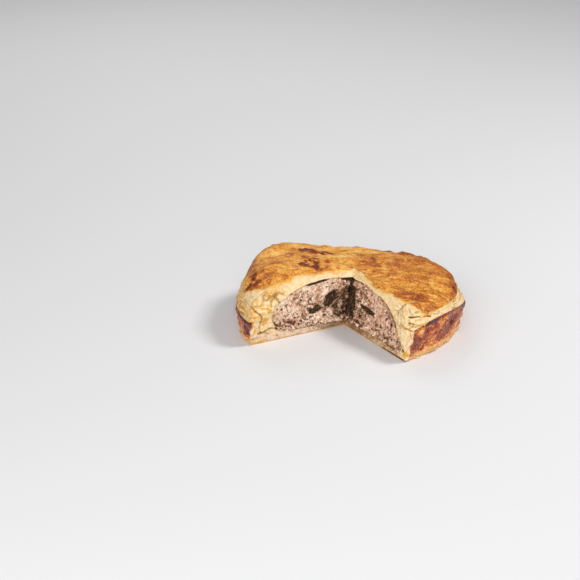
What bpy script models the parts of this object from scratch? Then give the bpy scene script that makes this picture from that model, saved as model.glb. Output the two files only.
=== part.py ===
"""A wild boar pie with a wedge cut out: minced filling with mushroom in it, a base crust and a puffed lid.

Sizes below are millimetres and are scaled to metres as each mesh is made. Z is up, the table is z = 0 and
the pie's middle is the Z axis. Each piece is first turned as part of a neat round pie. It is then pushed to
the pie's uneven outline and heights, given relief, and cut by a wedge whose two faces have relief of their
own: crumbled mince, sliced crust, or a lid whose top stands back from the cut.
"""

import math

import bmesh
import bpy
import numpy as np
from mathutils import Vector, noise

MM = 0.001

# The neat pie, as radii and heights.
FOOT_RADIUS = 86.0
SEAM_RADIUS = 90.0
SEAM_HEIGHT = 27.0
RIM_RADIUS = 82.0
RIM_HEIGHT = 38.0
MIDDLE_HEIGHT = 45.5
FILLING_RADIUS = 72.0
FILLING_FLOOR = 4.8
FILLING_WAIST = 12.0
FILLING_TOP = 40.2
FOOT_POWER = 5.0
OUTER_FROM = 62.0
SIDE_HEIGHTS = (40.2, 39.6, 38.4, 36.6, 34.3, 31.0, 27.0, 24.0, 21.0, 18.0, 15.0, 12.0)
GAP = 0.3

# What makes it uneven: degrees from +X round the pie, and the millimetres there.
FOOT_OUTLINE = {-62: 84, -44: 83, -28: 85, -10: 87, 20: 88, 60: 87, 100: 86, 140: 87, 180: 88.5, 209: 91}
FILLING_OUTLINE = {-62: 75, 0: 73, 90: 72, 180: 70, 209: 69}
SEAM_HEIGHTS = {-62: 24, -54: 28, -45: 30, -32: 30, -20: 27, -8: 24, 30: 23, 90: 22, 150: 23, 180: 19.5, 209: 20}
RIM_HEIGHTS = {
    -62: 35.5, -40: 37, -15: 36, 8: 37.5, 27: 35.3, 45: 34.3, 60: 33, 75: 33.4, 86: 34.2,
    95: 33.5, 108: 36.8, 126: 44, 140: 46.5, 156: 46.5, 166: 43.5, 180: 42, 209: 39.5,
}  # fmt: skip
SEAM_EXTRA = {-62: 0, -20: -1, -6: 1.5, 6: -3, 14: -2.5, 30: 0, 150: 0, 180: -1.5, 209: -3}
SHOULDER_EXTRA = {
    -62: 0, -20: 0.5, 4: 1.2, 12: 3.5, 25: 3.2, 45: 1.5, 60: 0.5, 120: 0.5, 145: 2, 156: 2.5, 166: -0.5, 209: 0,
}  # fmt: skip
PUFF_AT = Vector((-45.0, 0.0))
PUFF_RADIUS = 50.0
PUFF_HEIGHT = 3.5

# The section that each cut shows. Beside it, which of the neat pie's heights are widened (as a share of the
# radius) and raised (in millimetres), and how much of that holds at each angle.
SECTIONS = [
    (
        {-62: 0, 140: 0, 190: 1, 209: 1},
        {5: -0.09, 8.7: -0.065, 12: -0.045, 18: 0.025, 24: 0.085, 27: 0.07, 31: 0.03, 36.6: 0},
        {12: 0, 18: 1.1, 24: 3.2, 31: 4.6, 36.6: 4.4, 40.5: 3.0, 44: 1.1, 48: 0.9},
    ),
    (
        {-62: 1, -45: 1, 0: 0, 209: 0},
        {5: 0.07, 8.7: 0.055, 12: 0.03, 18: 0},
        {27: 0, 34.3: 1.4, 38.4: 1.8, 41: 1.0, 44: 0.4, 48: 0},
    ),
]

# The wedge: its corner is a leaning line, and each face runs from it in a direction.
CORNER_LOW = Vector((-4.4, -4.5, 0.0))
CORNER_HIGH = Vector((2.6, -3.0, 45.0))
LEFT_CUT_DEGREES = 208.0
RIGHT_CUT_DEGREES = -57.6
WEDGE_BOTTOM = -5.0
WEDGE_TOP = 62.0
WEDGE_REACH = 112.0
WEDGE_DEPTH = 150.0

# How far the lid's browned top stands back from each cut: distance out from the corner, and distance back.
BEVELS = {
    "left": {0: 3, 16: 9, 38: 13, 60: 12, 76: 6, 90: 4},
    "right": {0: 2, 35: 4, 62: 7, 78: 6, 90: 5},
}
BEVEL_POWER = 1.6
GAPS_UNDER_LID = [(29.0, 13.0, 2.8), (1.0, 8.0, 3.4)]  # beside the left cut: middle, half-length, depth
CRUMPLED_FROM = 54.0
CRUMPLED_BY = 68.0

# Mushroom pieces: cut it shows on, distance out from the corner, height, half-sizes (out, up, in), slope.
MUSHROOMS = [
    ("mushroom_1", "left", 17.3, 26.2, (6.8, 4.3, 5.0), -32.0),
    ("mushroom_2", "left", 30.5, 19.4, (5.2, 2.4, 4.0), -12.0),
    ("mushroom_3", "right", 5.8, 21.5, (4.0, 11.2, 4.0), 12.0),
    ("mushroom_4", "right", 26.0, 22.6, (10.4, 1.8, 4.5), -3.0),
]

SMOOTHED_DEGREES = 12
SPIN_STEPS = 100
FILLING_STEPS = 60
CRUMB_GRID = 2.2
PASTRY_GRID = 4.0


def eased(low, high, value):
    """0 below low and 1 above high, with a smooth rise between them."""
    t = min(max((value - low) / (high - low), 0.0), 1.0)
    return t * t * (3.0 - 2.0 * t)


def ring(table):
    """A table's values at each whole degree round the pie, with the corners at its entries smoothed away."""
    straight = np.interp(np.arange(360), list(table), list(table.values()), period=360)
    window = np.hanning(2 * SMOOTHED_DEGREES + 1)
    smoothed = np.convolve(np.tile(straight, 3), window / window.sum(), "same")
    return smoothed[360:720]


def around(values, degrees):
    """A ring's value at this angle."""
    return float(np.interp(degrees, np.arange(360), values, period=360))


def looked_up(table, value):
    """A table's value here, straight between its entries."""
    return float(np.interp(value, list(table), list(table.values())))


def grain(point, size):
    """Smooth noise from -1 to 1 whose features are about this many millimetres wide."""
    return noise.noise(point / size)


def lumps(point, size):
    """Rounded lumps of this size: about 0.5 in a lump's middle and -0.5 in the creases between lumps."""
    return 0.5 - noise.voronoi(point / size)[0][0] * 1.3


# --- Neat profiles, as (radius, height) ---


def side(heights, gap):
    """Points down the filling's elliptic side at these heights, moved out from it by gap."""
    points = []
    for height in heights:
        rise = (height - FILLING_WAIST) / (FILLING_TOP - FILLING_WAIST)
        radius = FILLING_RADIUS * math.sqrt(1.0 - rise**2)
        away = Vector((radius / FILLING_RADIUS**2, rise / (FILLING_TOP - FILLING_WAIST))).normalized()
        points.append((radius + gap * away.x, height + gap * away.y))
    return points


def foot_in(gap):
    """Points round the filling's rounded foot, from its waist to its floor, moved out from it by gap."""
    depth = FILLING_WAIST - FILLING_FLOOR + gap
    shares = (0.45, 0.8, 0.96)
    return [((FILLING_RADIUS + gap) * (1 - f**FOOT_POWER) ** (1 / FOOT_POWER), FILLING_WAIST - depth * f) for f in shares]


def top_height(radius):
    return RIM_HEIGHT + (MIDDLE_HEIGHT - RIM_HEIGHT) * (1.0 - (radius / RIM_RADIUS) ** 3)


def lid_profile():
    top = [(radius, top_height(radius)) for radius in (0, 10, 20, 30, 40, 50, 60, 69, 76)]
    shoulder = [(80.0, RIM_HEIGHT), (82.6, RIM_HEIGHT - 1.4), (83.9, RIM_HEIGHT - 3.2)]
    low = SEAM_HEIGHT + GAP / 2
    high = shoulder[-1][1]
    flank = [(83.9 + 6.1 * f**1.4, high + (low - high) * f) for f in (0.17, 0.33, 0.5, 0.67, 0.83, 1.0)]
    under = side([height for height in SIDE_HEIGHTS if height >= SEAM_HEIGHT], GAP)
    return top + shoulder + flank + under[::-1]


def base_profile():
    high = SEAM_HEIGHT - GAP / 2
    foot = [(0.0, 0.0), (45.0, 0.0), (FOOT_RADIUS - 1.0, 0.0), (FOOT_RADIUS, 1.4), (FOOT_RADIUS - 0.4, 3.2)]
    wall = [(85.3, 5.0), (86.4, 9.0), (87.6, 13.0), (88.6, 17.0), (89.4, 21.0), (90.0, 24.5)]
    wall.append((SEAM_RADIUS, high))
    inside = [(61.6, high), *side([height for height in SIDE_HEIGHTS if height < SEAM_HEIGHT], GAP)]
    floor = [(50.0, FILLING_FLOOR - GAP), (0.0, FILLING_FLOOR - GAP)]
    return foot + wall + inside + foot_in(GAP) + floor


def filling_profile():
    return side(SIDE_HEIGHTS, 0.0) + foot_in(0.0) + [(50.0, FILLING_FLOOR), (0.0, FILLING_FLOOR)]


def turned(profile, steps):
    """The mesh of a profile turned once round Z, in millimetres."""
    mesh = bpy.data.meshes.new("profile")
    edges = [(i, i + 1) for i in range(len(profile) - 1)]
    mesh.from_pydata([(radius, 0, height) for radius, height in profile], edges, [])
    helper = bpy.data.objects.new("profile", mesh)
    bpy.context.scene.collection.objects.link(helper)
    screw = helper.modifiers.new("turn", "SCREW")
    screw.steps = screw.render_steps = steps
    screw.use_merge_vertices = True
    screw.merge_threshold = 0.0001
    result = bpy.data.meshes.new_from_object(helper.evaluated_get(bpy.context.evaluated_depsgraph_get()))
    bpy.data.objects.remove(helper)
    return result


# --- From the neat pie to the uneven one ---

FOOT_RING, FILLING_RING = ring(FOOT_OUTLINE), ring(FILLING_OUTLINE)
SEAM_RING, RIM_RING = ring(SEAM_HEIGHTS), ring(RIM_HEIGHTS)
SEAM_EXTRA_RING, SHOULDER_EXTRA_RING = ring(SEAM_EXTRA), ring(SHOULDER_EXTRA)
SECTION_RINGS = [(ring(share), wider, higher) for share, wider, higher in SECTIONS]


def shape(point):
    """Where a point of the neat pie is on the uneven one."""
    radius = math.hypot(point.x, point.y)
    degrees = math.degrees(math.atan2(point.y, point.x))
    outer = eased(FILLING_RADIUS, FOOT_RADIUS, radius)
    spread = around(FILLING_RING, degrees) / FILLING_RADIUS
    spread += (around(FOOT_RING, degrees) / FOOT_RADIUS - spread) * outer
    widened, lifted = 0.0, 0.0
    for share, wider, higher in SECTION_RINGS:
        widened += around(share, degrees) * looked_up(wider, point.z)
        lifted += around(share, degrees) * looked_up(higher, point.z)
    spread *= 1.0 + widened * (1.0 - eased(FILLING_RADIUS + 1.0, FOOT_RADIUS + 1.0, radius))
    bends = {0: 0, SEAM_HEIGHT: around(SEAM_EXTRA_RING, degrees), RIM_HEIGHT: around(SHOULDER_EXTRA_RING, degrees)}
    spread += looked_up(bends, point.z) * eased(FILLING_RADIUS + 2.0, FOOT_RADIUS - 2.0, radius) / max(radius, 1.0)
    rim = around(RIM_RING, degrees)
    seam = around(SEAM_RING, degrees)
    raised = (rim - RIM_HEIGHT) * (radius / RIM_RADIUS) ** 1.5
    inner_height = point.z + raised * eased(FILLING_FLOOR, SEAM_HEIGHT, point.z)
    inner_height += lifted * eased(0.0, 24.0, radius) * (1.0 - eased(60.0, 80.0, radius))
    if point.z <= SEAM_HEIGHT:
        outer_height = point.z * seam / SEAM_HEIGHT
    else:
        outer_height = seam + (point.z - SEAM_HEIGHT) * (rim - seam) / (RIM_HEIGHT - SEAM_HEIGHT)
    height = inner_height + (outer_height - inner_height) * eased(OUTER_FROM, FOOT_RADIUS, radius)
    puff = 1.0 - min((point.xy - PUFF_AT).length / PUFF_RADIUS, 1.0)
    height += PUFF_HEIGHT * eased(0, 1, puff) * eased(FILLING_WAIST, RIM_HEIGHT, point.z)
    return Vector((point.x * spread, point.y * spread, height))


def outward(point, amount):
    """The point moved away from the Z axis."""
    away = Vector((point.x, point.y, 0.0)).normalized()
    return point + away * amount


def lid_relief(neat, point):
    """Blisters and waves on the browned top, and the edges of pastry layers down the flank."""
    on_top = eased(RIM_HEIGHT - 2.0, RIM_HEIGHT, neat.z) * (neat.z > top_height(neat.xy.length) - 1.5)
    point.z += on_top * (0.9 * grain(point, 24.0) + 0.6 * grain(point, 9.0))
    on_flank = eased(81.0, 84.0, neat.xy.length) * eased(SEAM_HEIGHT, SEAM_HEIGHT + 1.5, neat.z)
    layer = math.sin(point.z * 2.1 + 3.0 * grain(point, 26.0))
    return outward(point, on_flank * (0.55 * layer + 0.8 * grain(point, 8.0)))


def base_relief(neat, point):
    """Crinkles down the browned wall, and ragged flakes at its foot."""
    on_wall = eased(80.0, 84.0, neat.xy.length)
    crinkle = 0.7 * noise.noise(Vector((point.x / 5.0, point.y / 5.0, point.z / 14.0)))
    flake = 1.1 * grain(point, 4.5) * (1.0 - eased(3.0, 6.0, neat.z))
    return outward(point, on_wall * (crinkle + flake))


def filling_relief(neat, point):
    """The hollows under the lid, where the filling has sunk away from it beside the left cut."""
    out_from_corner = (point - corner(point.z)).xy
    along = out_from_corner.dot(CUTS["left"][0].xy)
    beside = abs(out_from_corner.dot(CUTS["left"][1].xy))
    on_top = eased(FILLING_WAIST, FILLING_TOP - 6.0, neat.z)
    for middle, half, depth in GAPS_UNDER_LID:
        near = max(1.0 - ((along - middle) / half) ** 2, 0.0) * max(1.0 - beside / 12.0, 0.0)
        point.z -= depth * near * on_top
    return point


# --- The wedge ---


def corner(height):
    """The wedge's corner line at a height."""
    return CORNER_LOW.lerp(CORNER_HIGH, height / CORNER_HIGH.z)


def cut_frame(degrees, turn):
    """The level direction of a cut from the corner, and its normal, which points into the wedge."""
    way = Vector((math.cos(math.radians(degrees)), math.sin(math.radians(degrees)), 0.0))
    normal = way.cross(CORNER_HIGH - CORNER_LOW).normalized() * turn
    return way, normal


CUTS = {"left": cut_frame(LEFT_CUT_DEGREES, -1.0), "right": cut_frame(RIGHT_CUT_DEGREES, 1.0)}
BISECTOR = (CUTS["left"][1] + CUTS["right"][1]).normalized()


def crumbled(point, side, out):
    """Relief of the cut filling: grains of mince."""
    return 1.0 * lumps(point, 4.2) + 0.7 * grain(point, 11.0)


def folds(point, out):
    """Crumpled dough towards the rim: rounded ridges with valleys between them."""
    ridge = 1.0 - 2.6 * abs(grain(point, 13.0))
    return eased(CRUMPLED_FROM, CRUMPLED_BY, out) * (1.6 * ridge - 0.8)


def sliced(point, side, out):
    """Relief of the cut base crust: slight layers and tears, and folds above the floor."""
    layers = 0.35 * grain(Vector((point.x / 3.0, point.y / 3.0, point.z)), 1.6)
    return layers + folds(point, out) * eased(2.0, 8.0, point.z)


def bevelled(point, side, out):
    """Relief of the cut lid: layers, and a rounded slope where its top stands back from the cut."""
    radius = min(point.xy.length, RIM_RADIUS)
    dome = math.sqrt(max(1.0 - (radius / FILLING_RADIUS) ** 2, 0.0))
    filled = FILLING_WAIST + (FILLING_TOP - FILLING_WAIST) * dome
    under = shape(Vector((point.x, point.y, max(filled, SEAM_HEIGHT)))).z
    top = shape(Vector((point.x, point.y, top_height(radius)))).z
    rise = min(max((point.z - under) / (top - under), 0.0), 1.4)
    back = looked_up(BEVELS[side], out) * rise**BEVEL_POWER
    layers = 0.4 * math.sin(point.z * 2.4 + 2.0 * grain(point, 12.0))
    return layers + folds(point, out) * (1.0 - eased(0.6, 1.1, rise)) - back


def wedge(name, relief, spacing):
    """A cutter: a sheet bent at the corner line, with relief on both faces, pulled outward as a block."""
    columns = 2 * math.ceil(WEDGE_REACH / spacing)
    rows = math.ceil((WEDGE_TOP - WEDGE_BOTTOM) / spacing)
    bm = bmesh.new()
    bmesh.ops.create_grid(bm, x_segments=columns, y_segments=rows, size=1.0)
    for vertex in bm.verts:
        side = "right" if vertex.co.x > 0 else "left"
        way, normal = CUTS[side]
        height = WEDGE_BOTTOM + (WEDGE_TOP - WEDGE_BOTTOM) * (vertex.co.y + 1.0) / 2
        out = abs(vertex.co.x) * WEDGE_REACH
        point = corner(height) + way * out
        push = BISECTOR.lerp(normal, eased(0.0, 4.0, out))
        vertex.co = (point + push * relief(point, side, out)) * MM
    sheet = bmesh.ops.extrude_face_region(bm, geom=list(bm.faces))
    pulled = [part for part in sheet["geom"] if isinstance(part, bmesh.types.BMVert)]
    bmesh.ops.translate(bm, verts=pulled, vec=Vector((BISECTOR.x, BISECTOR.y, 0.0)) * WEDGE_DEPTH * MM)
    face_outward(bm)
    return helper_object(name, bm)


# --- Objects ---


def face_outward(bm):
    """Turns a closed mesh's faces so that its signed volume is positive."""
    bmesh.ops.recalc_face_normals(bm, faces=list(bm.faces))
    if bm.calc_volume(signed=True) < 0:
        bmesh.ops.reverse_faces(bm, faces=list(bm.faces))


def collection(name, hidden):
    made = bpy.data.collections.new(name)
    bpy.context.scene.collection.children.link(made)
    made.hide_render = hidden
    return made


def helper_object(name, bm):
    """A cutter: an object in the helpers' collection, shown as a wireframe and left out of renders."""
    mesh = bpy.data.meshes.new(name)
    bm.to_mesh(mesh)
    bm.free()
    made = bpy.data.objects.new(name, mesh)
    made.hide_render = True
    made.display_type = "WIRE"
    HELPERS.objects.link(made)
    return made


def material(name, colour, roughness):
    made = bpy.data.materials.new(name)
    made.use_nodes = True
    shader = made.node_tree.nodes["Principled BSDF"]
    shader.inputs["Base Color"].default_value = (*colour, 1.0)
    shader.inputs["Roughness"].default_value = roughness
    shader.inputs["Metallic"].default_value = 0.0
    made.diffuse_color = (*colour, 1.0)
    return made


def cut_by(made, cutter):
    boolean = made.modifiers.new(cutter.name, "BOOLEAN")
    boolean.operation = "DIFFERENCE"
    boolean.solver = "EXACT"
    boolean.object = cutter


def turned_piece(name, profile, steps, relief, finish):
    """A node: its profile turned, shaped, and given relief."""
    mesh = turned(profile, steps)
    mesh.name = name
    for vertex in mesh.vertices:
        vertex.co = relief(vertex.co, shape(vertex.co)) * MM
    bm = bmesh.new()
    bm.from_mesh(mesh)
    face_outward(bm)
    bm.to_mesh(mesh)
    bm.free()
    mesh.materials.append(finish)
    made = bpy.data.objects.new(name, mesh)
    PIE.objects.link(made)
    return made


def mushroom_shape(side, out, height, half_sizes, slope, swell):
    """A lumpy ellipsoid lying across a cut, made larger all round by swell."""
    way, normal = CUTS[side]
    middle = corner(height) + way * out
    lean = math.radians(slope)
    long_way = way * math.cos(lean) + Vector((0, 0, 1)) * math.sin(lean)
    across = normal.cross(long_way).normalized()
    bm = bmesh.new()
    bmesh.ops.create_uvsphere(bm, u_segments=16, v_segments=10, radius=1.0)
    for vertex in bm.verts:
        unit = vertex.co.copy()
        uneven = 1.0 + 0.22 * noise.noise(unit * 1.7 + middle)
        axes = zip((long_way, across, normal), unit, half_sizes)
        reached = (axis * part * (half * uneven + swell) for axis, part, half in axes)
        vertex.co = sum(reached, middle) * MM
    face_outward(bm)
    return bm


def mushroom(name, side, out, height, half_sizes, slope, finish):
    """A node: one piece of mushroom, and the pocket that it leaves in the filling."""
    bm = mushroom_shape(side, out, height, half_sizes, slope, 0.0)
    mesh = bpy.data.meshes.new(name)
    bm.to_mesh(mesh)
    bm.free()
    mesh.materials.append(finish)
    made = bpy.data.objects.new(name, mesh)
    PIE.objects.link(made)
    pocket = helper_object(name + "_pocket", mushroom_shape(side, out, height, half_sizes, slope, GAP + 0.05))
    return made, pocket


def build():
    lid_finish = material("browned lid", (0.63, 0.29, 0.06), 0.42)
    base_finish = material("base crust", (0.30, 0.08, 0.02), 0.38)
    filling_finish = material("minced boar", (0.55, 0.36, 0.27), 0.6)
    mushroom_finish = material("mushroom", (0.05, 0.035, 0.025), 0.5)

    lid = turned_piece("lid", lid_profile(), SPIN_STEPS, lid_relief, lid_finish)
    base = turned_piece("base_crust", base_profile(), SPIN_STEPS, base_relief, base_finish)
    filling = turned_piece("filling", filling_profile(), FILLING_STEPS, filling_relief, filling_finish)

    crumb_wedge = wedge("wedge_in_filling", crumbled, CRUMB_GRID)
    cut_by(lid, wedge("wedge_in_lid", bevelled, PASTRY_GRID))
    cut_by(base, wedge("wedge_in_base", sliced, PASTRY_GRID))
    for name, side, out, height, half_sizes, slope in MUSHROOMS:
        piece, pocket = mushroom(name, side, out, height, half_sizes, slope, mushroom_finish)
        cut_by(piece, crumb_wedge)
        cut_by(filling, pocket)
    cut_by(filling, crumb_wedge)


for old in list(bpy.data.objects):
    bpy.data.objects.remove(old)
PIE = collection("wild_boar_pie", hidden=False)
HELPERS = collection("cutters", hidden=True)
build()
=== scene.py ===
"""A wild boar pie with a wedge cut out: puffed lid, base crust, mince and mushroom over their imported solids.

Each large piece is a block worked out on a grid of three parameters. "out" runs from the wedge's corner line
to the pie's edge, "up" runs through the piece's thickness, and "turn" runs round the pie from the right cut (0)
to the left (1). A section function gives the neat pie's radius and height for (out, up). place() carries them
to the uneven pie. Each piece then adds its own relief, and the attributes that its material reads.

Sizes are millimetres until a mesh is made. Z is up and the table is z = 0. In names and tables, "along" is the
distance along a cut from the wedge's corner, and "degrees" are round the pie from +X.
"""

import itertools

import bpy
import numpy as np
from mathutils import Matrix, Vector


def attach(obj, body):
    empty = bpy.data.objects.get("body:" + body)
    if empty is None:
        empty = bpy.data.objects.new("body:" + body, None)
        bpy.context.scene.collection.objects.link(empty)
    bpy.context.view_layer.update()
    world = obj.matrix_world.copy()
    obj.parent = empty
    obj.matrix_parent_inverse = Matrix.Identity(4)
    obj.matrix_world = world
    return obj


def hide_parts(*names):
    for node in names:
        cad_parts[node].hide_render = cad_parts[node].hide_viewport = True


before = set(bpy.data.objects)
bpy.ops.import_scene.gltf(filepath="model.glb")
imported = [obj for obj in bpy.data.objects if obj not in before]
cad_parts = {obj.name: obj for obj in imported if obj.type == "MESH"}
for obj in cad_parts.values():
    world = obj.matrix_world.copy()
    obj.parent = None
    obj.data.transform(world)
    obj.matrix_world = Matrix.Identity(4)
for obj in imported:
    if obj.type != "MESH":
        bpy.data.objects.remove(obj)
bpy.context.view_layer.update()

MM = 0.001
UP = np.array([0.0, 0.0, 1.0])

# The neat pie, as radii and heights.
FOOT_RADIUS = 86.0
SEAM_RADIUS = 90.0
SEAM_HEIGHT = 27.0
RIM_RADIUS = 82.0
RIM_HEIGHT = 38.0
MIDDLE_HEIGHT = 45.5
SHOULDER_RADIUS = 83.9
SHOULDER_DROP = 3.6
SHOULDER_FROM = 75.0
FILLING_RADIUS = 72.0
FILLING_FLOOR = 4.8
FILLING_WAIST = 12.0
FILLING_TOP = 40.2
FOOT_POWER = 5.0
OUTER_FROM = 62.0
GAP = 0.3  # between one piece and the next
LIP = 0.6  # how far the seam's two faces stop short of its outer edge

# What makes it uneven: degrees from +X round the pie, and the millimetres there.
FOOT_OUTLINE = {-62: 84, -44: 83, -28: 85, -10: 87, 20: 88, 60: 87, 100: 86, 140: 87, 180: 88.5, 209: 91}
FILLING_OUTLINE = {-62: 75, 0: 73, 90: 72, 180: 70, 209: 69}
SEAM_HEIGHTS = {
    -62: 24, -54: 28, -45: 30, -32: 30, -20: 27, -8: 24, 30: 23, 90: 22, 150: 23, 180: 19.5, 209: 20,
}  # fmt: skip
RIM_HEIGHTS = {
    -62: 35.5, -40: 37, -15: 36, 8: 37.5, 27: 35.3, 45: 34.3, 60: 33, 75: 33.4, 86: 34.2,
    95: 33.5, 108: 36.8, 126: 44, 140: 46.5, 156: 46.5, 166: 43.5, 180: 42, 209: 39.5,
}  # fmt: skip
SEAM_EXTRA = {-62: 0, -20: -1, -6: 1.5, 6: -3, 14: -2.5, 30: 0, 150: 0, 180: -1.5, 209: -3}
SHOULDER_EXTRA = {
    -62: 0, -20: 0.5, 4: 1.2, 12: 3.5, 25: 3.2, 45: 1.5,
    60: 0.5, 120: 0.5, 145: 2, 156: 2.5, 166: -0.5, 209: 0,
}  # fmt: skip
SMOOTHED_DEGREES = 12
PUFF_AT = np.array([-45.0, 0.0])
PUFF_RADIUS = 50.0
PUFF_HEIGHT = 3.5

# The section that each cut shows. Beside it, which of the neat pie's heights are widened (as a share of the
# radius) and raised (in millimetres), and how much of that holds at each angle.
SECTIONS = [
    (
        {-62: 0, 140: 0, 190: 1, 209: 1},
        {5: -0.09, 8.7: -0.065, 12: -0.045, 18: 0.025, 24: 0.085, 27: 0.07, 31: 0.03, 36.6: 0},
        {12: 0, 18: 1.1, 24: 3.2, 31: 4.6, 36.6: 4.4, 40.5: 3.0, 44: 1.1, 48: 0.9},
    ),
    (
        {-62: 1, -45: 1, 0: 0, 209: 0},
        {5: 0.07, 8.7: 0.055, 12: 0.03, 18: 0},
        {27: 0, 34.3: 1.4, 38.4: 1.8, 41: 1.0, 44: 0.4, 48: 0},
    ),
]

# The wedge: its corner is a leaning line, and each face runs from it in a direction.
CORNER_LOW = np.array([-4.4, -4.5, 0.0])
CORNER_HIGH = np.array([2.6, -3.0, 45.0])
CUT_DEGREES = {"right": -57.6, "left": 208.0}
BEVELS = {
    "left": {0: 3, 16: 9, 38: 13, 60: 12, 76: 6, 90: 4},
    "right": {0: 2, 35: 4, 62: 7, 78: 6, 90: 5},
}
BEVEL_POWER = 1.6
BEVEL_REACH = 42.0

# Where the filling has sunk away from the lid beside the left cut: middle along it, half-length, depth.
GAPS_UNDER_LID = [(31.0, 11.0, 1.9), (2.5, 6.5, 2.1)]
GAP_REACH = 12.0

# Mushroom pieces: cut it shows on, distance out from the corner, height, half-sizes (out, up, in), slope.
MUSHROOMS = [
    ("mushroom_1", "left", 17.3, 26.2, (6.8, 4.3, 5.0), -32.0),
    ("mushroom_2", "left", 30.5, 19.4, (5.2, 2.4, 4.0), -12.0),
    ("mushroom_3", "right", 5.8, 21.5, (4.0, 11.2, 4.0), 12.0),
    ("mushroom_4", "right", 26.0, 22.6, (10.4, 1.8, 4.5), -3.0),
]

# How far back from each cut the browned skin of the lid begins, at distances along the cut.
GOLD_EDGES = {
    "left": {0: 5.3, 10: 5.9, 24: 7.7, 38: 9.4, 53: 8.1, 67: 8.4, 75: 11.8, 80: 18.7, 84: 30},
    "right": {0: 2.8, 15: 2.3, 24: 1.6, 39: 2.2, 46: 4.6, 57: 6.6, 67: 10.2, 74: 12.6, 80: 21},
}
GOLD_EDGE_WIDTHS = {"left": 4.5, "right": 2.5}

# Darker patches on the lid's top: x, y, half-width, half-depth, darkness.
BURNT = [
    (-37, 36, 6, 5, 0.52), (-28, 34, 8, 6, 0.56), (-18, 39, 8, 5, 0.52), (-31, 13, 8, 9, 0.56),
    (-35, 2, 7, 6, 0.58), (-29, -2, 7, 5.5, 0.52), (-46, 26, 5, 4, 0.16), (-16, 14, 6, 5, 0.14),
    (-76, -8, 7, 5, 0.56), (-76, -21, 5, 5, 0.66), (-80, 16, 5, 22, 0.26), (-70, -16, 12, 9, 0.14),
    (-26, 6, 10, 9, 0.16), (-10, 1.5, 2.4, 2, 0.40),
    (0.5, 11.3, 2.6, 2, 0.34), (-22, 22, 9, 14, 0.10), (22, 34, 14, 7, 0.20), (17, 14, 9, 12, 0.24),
    (23, 0, 10, 6, 0.16), (44, -38, 12, 6, 0.12), (62, -30, 16, 8, 0.16), (56, -42, 12, 5, 0.12),
    (82, -8, 4, 20, 0.24), (50, 28, 16, 6, 0.10), (-60, 40, 18, 6, 0.12),
]  # fmt: skip

# Darker and lighter patches on the wall: degrees, height, half-width in degrees, half-height, darkness.
WALL_PATCHES = [
    (-58, 20, 3, 5, 0.26), (-54, 16, 4, 4, 0.30), (-49, 22, 3, 3, 0.26), (-41, 16, 3, 3, 0.24),
    (-52, 10, 4, 3, 0.22), (-24, 20, 4, 4, 0.14), (-13, 23, 8, 3, 0.22), (-47, 28, 6, 2, 0.24),
    (-15, 13, 8, 5, -0.24),
    (-44, 25, 4, 2.5, -0.15), (-36, 20, 4, 4, -0.16), (-29, 16, 4, 4, -0.16), (-44, 9, 4, 3, -0.15),
    (-38, 6, 4, 3, -0.15), (-19, 8, 6, 3, -0.20), (-32, 25, 4, 2.5, -0.22),
    (205, 19, 6, 4, 0.36), (206.5, 11, 3, 5, 0.30), (200, 8, 4, 5, -0.30),
]  # fmt: skip

# Lines that show on each cut, as strength, half-width and corners (along the cut, height).
# Folds in the crumpled pastry, which are sunk, with painted shade in them:
FOLDS = {
    "left": [
        (0.75, 1.1, [(65.5, 37), (68.5, 34.9), (70.3, 32.6), (70.9, 29.5)]),
        (0.95, 1.0, [(79.3, 9.1), (76.6, 9.6), (72.1, 10.1), (67.6, 9.9), (63, 9.5)]),
        (0.45, 0.9, [(74.5, 35.5), (78.5, 33.5), (81.5, 30.0), (84.5, 29.5)]),
        (0.40, 0.9, [(82.6, 25.5), (79.0, 22.0), (79.0, 17.7), (76.0, 14.5)]),
        (0.35, 0.8, [(60.0, 42.0), (68.0, 40.5), (75.0, 39.5)]),
    ],
    "right": [
        (0.80, 0.9, [(49.5, 30.6), (56.0, 28.7)]),
        (0.60, 1.0, [(24, 4.6), (40, 4.2), (57.4, 3.8)]),
        (1.00, 1.3, [(57.4, 3.8), (63.7, 3.3), (70.4, 6.4), (73.3, 6.6)]),
        (1.10, 1.3, [(78.0, 7.2), (80.5, 8.0)]),
        (0.40, 0.8, [(58.0, 30.5), (66.0, 27.0), (72.0, 22.0), (75.0, 16.0)]),
    ],
}
# Edges of the pastry that the oven has turned golden:
GILDED = {
    "left": [
        (0.90, 1.9, [(78.6, 28.4), (73.9, 27.5), (70.3, 25.6), (69.0, 24.8)]),
        (0.85, 3.4, [(73.7, 20.3), (74.5, 17.3)]),
        (0.70, 1.6, [(83.0, 36.0), (87.0, 38.0), (90.0, 39.0)]),
        (0.60, 1.8, [(76.0, 33.5), (80.0, 31.0), (86.0, 30.0)]),
        (0.50, 1.8, [(66.0, 39.5), (72.0, 38.0), (76.0, 34.5)]),
        (0.90, 3.2, [(74.0, 1.0), (84.0, 1.6), (92.0, 2.6)]),
        (0.60, 2.2, [(86.0, 22.4), (83.0, 15.0), (85.0, 8.0)]),
    ],
    "right": [
        (1.00, 4.5, [(83.0, 5.5), (87.0, 8.0)]),
        (0.28, 1.4, [(30.0, 1.6), (50.0, 1.6), (70.0, 1.6), (86.0, 1.4)]),
        (0.40, 1.8, [(76.0, 30.0), (82.0, 26.0), (85.0, 20.0)]),
    ],
}
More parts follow.
